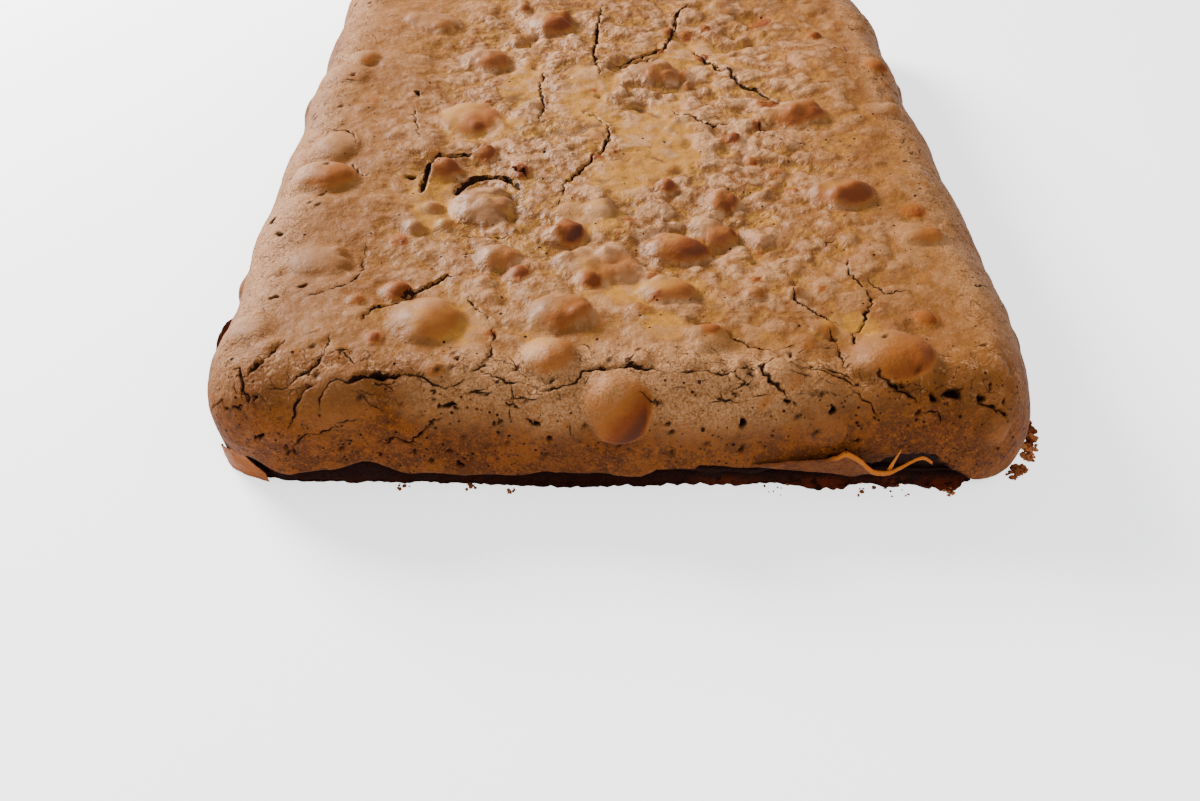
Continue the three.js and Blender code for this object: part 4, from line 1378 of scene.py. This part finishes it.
class BROWNIE_OT_foot(bpy.types.Operator):
    """Builds the ragged rim of scorched crumb round the foot"""

    bl_idname = "brownie.foot"
    bl_label = "Scorched foot"

    def execute(self, context):
        mesh = bmesh.new()
        section_steps = len(FOOT_SECTION)
        bmesh.ops.create_grid(mesh, x_segments=FOOT_STEPS, y_segments=section_steps, size=1)
        foot_radius = CORNER_RADIUS - OVERHANG
        warmth = mesh.verts.layers.float_vector.new("crumb_warmth")
        for vert in mesh.verts:
            turn = (vert.co.x + 1) / 2
            step = round((vert.co.y + 1) / 2 * section_steps) % section_steps
            centre, way = foot_outline(turn, foot_radius)
            reach = 0.2 + 0.4 * ripple(centre, 0, 0.23)
            warm = 0.1
            for x, y, spread, most, heat in BURSTS:
                fade = math.exp(-(math.dist(centre, (x, y)) / spread) ** 2)
                reach = max(reach, most * fade * (0.75 + 0.5 * ripple(centre, 4, 0.5)))
                warm = max(warm, heat * fade)
            vert[warmth] = (warm, 0, 0)
            reach = max(reach + 0.35 * ripple(centre, 9, 0.8) + 0.3 * ripple(centre, 5, 2.3), 0.1)
            base, share_out, low, share_up = FOOT_SECTION[step]
            out = base + share_out * reach
            height = low + share_up * (LIP_HEIGHT + float(lip_lift(*centre)))
            if height > 0:
                grit = noise.noise(Vector((centre[0] + out, centre[1] + out, height * 2)) * 1.3)
                height = max(height + 0.3 * grit, 0.12)
                out += 0.4 * grit
            out += 0.25 + 0.3 * ripple(centre, 3, 0.3)
            vert.co = Vector((centre[0] + way[0] * out, centre[1] + way[1] * out, height)) * MM
        bmesh.ops.remove_doubles(mesh, verts=mesh.verts, dist=0.01 * MM)
        bmesh.ops.recalc_face_normals(mesh, faces=mesh.faces)
        # the foot's dark crumb colour stands partly as painted shade under the lip
        finish_piece(mesh, "scorched_foot", [bpy.data.materials["Scorched crumb"]])
        return {"FINISHED"}


def ripple(centre, shift, scale):
    """Noise along the outline, from -1 to 1, a different one for each shift."""
    return noise.noise(Vector((*centre, shift)) * scale)


def foot_outline(turn, radius):
    """A place on the foot's outline, and the way out from it, at a share of the way round."""
    straights = (2 * CORE_X, 2 * CORE_Y)
    arc = radius * math.pi / 2
    whole = 2 * sum(straights) + 4 * arc
    left = (turn % 1) * whole
    corners = ((CORE_X, -CORE_Y), (CORE_X, CORE_Y), (-CORE_X, CORE_Y), (-CORE_X, -CORE_Y))
    for side, corner in enumerate(corners):
        heading = side * math.pi / 2
        ahead = (math.cos(heading), math.sin(heading))
        out = (math.sin(heading), -math.cos(heading))
        straight = straights[side % 2]
        if left <= straight:
            back = straight - left
            return tuple(corner[a] - ahead[a] * back + out[a] * radius for a in (0, 1)), out
        left -= straight
        if left <= arc:
            angle = heading - math.pi / 2 + left / radius
            way = (math.cos(angle), math.sin(angle))
            return tuple(corner[a] + way[a] * radius for a in (0, 1)), way
        left -= arc
    return (corners[0][0], -CORE_Y - radius), (0.0, -1.0)


CRUMB_SEED = 77
# Loose crumbs: x, y, spread, how many, size against the average, lightness.
CRUMB_HEAPS = (
    (103.9, -100.2, 1.3, 50, 0.55, 0.1),
    (103.9, -102.6, 1.4, 60, 0.6, 0.2),
    (103.4, -105.4, 1.5, 60, 0.6, 0.8),
    (102.2, -108.4, 2.0, 80, 0.6, 1.0),
    (100.8, -111.8, 1.7, 60, 0.55, 0.9),
    (97.2, -116.6, 1.8, 74, 0.58, 0.5),
    (95.0, -118.2, 1.3, 30, 0.5, 0.6),
    (58, -122.8, 3.0, 10, 0.5, 0.4),
    (66, -122.8, 3.0, 10, 0.5, 0.4),
    (78, -123.6, 1.6, 16, 0.5, 1.0),
    (37, -122.6, 3.0, 8, 0.5, 0.3),
    (-36, -122.8, 1.2, 9, 0.6, 0.3),
    (-26.5, -123.6, 1.0, 9, 0.55, 0.5),
    (-52, -122, 1.6, 6, 0.5, 0.3),
    (-99, -76, 5.0, 6, 0.5, 0.4),
    (99, 42, 5.0, 7, 0.6, 0.6),
    (-99, 60, 5.0, 5, 0.5, 0.4),
    (30, 122, 7.0, 7, 0.6, 0.6),
    (-50, 122, 7.0, 5, 0.5, 0.4),
)


class BROWNIE_OT_crumbs(bpy.types.Operator):
    """Scatters loose crumbs round the foot"""

    bl_idname = "brownie.crumbs"
    bl_label = "Loose crumbs"

    def execute(self, context):
        scene = context.scene
        size = scene.brownie_sizes.crumb_size / MM
        draw = seeded_random(CRUMB_SEED)
        mesh = bmesh.new()
        warmth = mesh.verts.layers.float_vector.new("crumb_warmth")
        for x, y, spread, count, scale, light in CRUMB_HEAPS:
            for index in range(count):
                angle, far = 2 * math.pi * next(draw), spread * next(draw) ** 0.7
                radius = size * scale * (0.5 + 0.9 * next(draw) ** 2)
                centre = Vector((x + far * math.cos(angle), y + far * math.sin(angle), radius * 0.55))
                made = bmesh.ops.create_icosphere(mesh, subdivisions=1, radius=radius)["verts"]
                stretch = Vector((0.75 + 0.6 * next(draw), 0.75 + 0.6 * next(draw), 0.7))
                for vert in made:
                    knobs = 1 + 0.5 * noise.noise(vert.co / radius * 1.2 + centre)
                    vert.co = vert.co * stretch * knobs + centre
                    vert.co.z = max(vert.co.z, 0.02)
                    vert.co *= MM
                    vert[warmth] = (light, 0, 0)
        bmesh.ops.recalc_face_normals(mesh, faces=mesh.faces)
        colours = scene.brownie_colours
        material = crumb_material("Loose crumb", colours.ember, colours.loose, 9.0)
        finish_piece(mesh, "loose_crumbs", [material])
        return {"FINISHED"}


CAMERA_PLACE = (-0.0099, -0.2983, 0.1898)
CAMERA_PITCH, CAMERA_YAW, CAMERA_ROLL = 0.743, 0.024, -0.020
SENSOR_WIDTH = 36
FLOOR_HALF = 2.5
# Soft lights: place in metres, size, share of the window's power, colour.
LIGHTS = {
    "window": ((-0.66, 0.5, 0.46), 0.4, 1.0, (1.0, 0.985, 0.96)),
    "fill": ((0.5, -0.5, 0.8), 1.2, 0.15, (0.95, 0.98, 1.0)),
}


class BROWNIE_OT_stage(bpy.types.Operator):
    """Sets the pale floor, the soft window light and the camera"""

    bl_idname = "brownie.stage"
    bl_label = "Stage"

    def execute(self, context):
        scene, settings = context.scene, context.scene.brownie_stage
        mesh = bmesh.new()
        bmesh.ops.create_grid(mesh, x_segments=1, y_segments=1, size=FLOOR_HALF)
        bmesh.ops.translate(mesh, vec=(0, 0, -0.02 * MM), verts=mesh.verts)
        data = bpy.data.meshes.new("floor")
        mesh.to_mesh(data)
        mesh.free()
        floor = bpy.data.objects.new("floor", data)
        scene.collection.objects.link(floor)
        material, shading, surface = new_material("Pale floor")
        surface.inputs["Roughness"].default_value = 0.75
        seen = shading.node("ShaderNodeLightPath").outputs["Is Camera Ray"]
        glow = shading.maths("MULTIPLY_ADD", seen, settings.floor_seen, settings.floor_glow)
        shading.feed(surface.inputs["Emission Strength"], glow)
        for label in ("Base Color", "Emission Color"):
            shading.feed(surface.inputs[label], scene.brownie_colours.floor)
        data.materials.append(material)

        world = bpy.data.worlds.new("Room")
        world.use_nodes = True
        background = world.node_tree.nodes["Background"]
        background.inputs["Color"].default_value = (0.97, 0.985, 1.0, 1)
        background.inputs["Strength"].default_value = settings.sky
        scene.world = world

        for name, (place, size, share, colour) in LIGHTS.items():
            add_soft_light(name, place, size, settings.window * share, colour)

        camera = bpy.data.objects.new("camera", bpy.data.cameras.new("camera"))
        scene.collection.objects.link(camera)
        camera.matrix_world = Matrix.Translation(CAMERA_PLACE) @ camera_turn()
        camera.data.sensor_width = SENSOR_WIDTH
        camera.data.lens = settings.lens
        camera.data.clip_start = 0.01
        scene.camera = camera
        return {"FINISHED"}


def camera_turn():
    """The camera's turn, from how far it looks down, aside and leans."""
    across, ahead = math.cos(CAMERA_YAW), math.sin(CAMERA_YAW)
    level = math.cos(CAMERA_PITCH)
    forward = Vector((ahead * level, across * level, -math.sin(CAMERA_PITCH)))
    right = Vector((across, -ahead, 0))
    up = right.cross(forward)
    tilted_right = right * math.cos(CAMERA_ROLL) - up * math.sin(CAMERA_ROLL)
    tilted_up = right * math.sin(CAMERA_ROLL) + up * math.cos(CAMERA_ROLL)
    return Matrix((tilted_right, tilted_up, -forward)).transposed().to_4x4()


def add_soft_light(name, place, size, power, colour):
    """An area light that faces the slab."""
    data = bpy.data.lights.new(name, "AREA")
    data.shape, data.size, data.energy, data.color = "DISK", size, power, colour
    light = bpy.data.objects.new(name, data)
    turn = Vector(place).to_track_quat("Z", "Y").to_matrix().to_4x4()
    light.matrix_world = Matrix.Translation(place) @ turn
    bpy.context.scene.collection.objects.link(light)


OPERATORS = (BROWNIE_OT_slab, BROWNIE_OT_peel, BROWNIE_OT_foot, BROWNIE_OT_crumbs, BROWNIE_OT_stage)
SETTINGS = {
    "brownie_sizes": BROWNIE_PG_sizes,
    "brownie_colours": BROWNIE_PG_colours,
    "brownie_stage": BROWNIE_PG_stage,
}


class BROWNIE_PT_panel(bpy.types.Panel):
    """Lists the brownie's pieces and settings"""

    bl_label = "Chocolate brownie"
    bl_idname = "BROWNIE_PT_panel"
    bl_space_type = "VIEW_3D"
    bl_region_type = "UI"
    bl_category = "Brownie"

    def draw(self, context):
        for operator in OPERATORS:
            self.layout.operator(operator.bl_idname)
        for key, group in SETTINGS.items():
            box = self.layout.box()
            for name in group.__annotations__:
                box.prop(getattr(context.scene, key), name)


CLASSES = (*SETTINGS.values(), *OPERATORS, BROWNIE_PT_panel)


def register():
    for item in CLASSES:
        bpy.utils.register_class(item)
    for key, group in SETTINGS.items():
        setattr(bpy.types.Scene, key, bpy.props.PointerProperty(type=group))


def unregister():
    for key in SETTINGS:
        delattr(bpy.types.Scene, key)
    for item in reversed(CLASSES):
        bpy.utils.unregister_class(item)


def main():
    register()
    bpy.ops.brownie.slab()
    bpy.ops.brownie.peel()
    bpy.ops.brownie.foot()
    bpy.ops.brownie.crumbs()
    bpy.ops.brownie.stage()


if __name__ == "__main__":
    main()
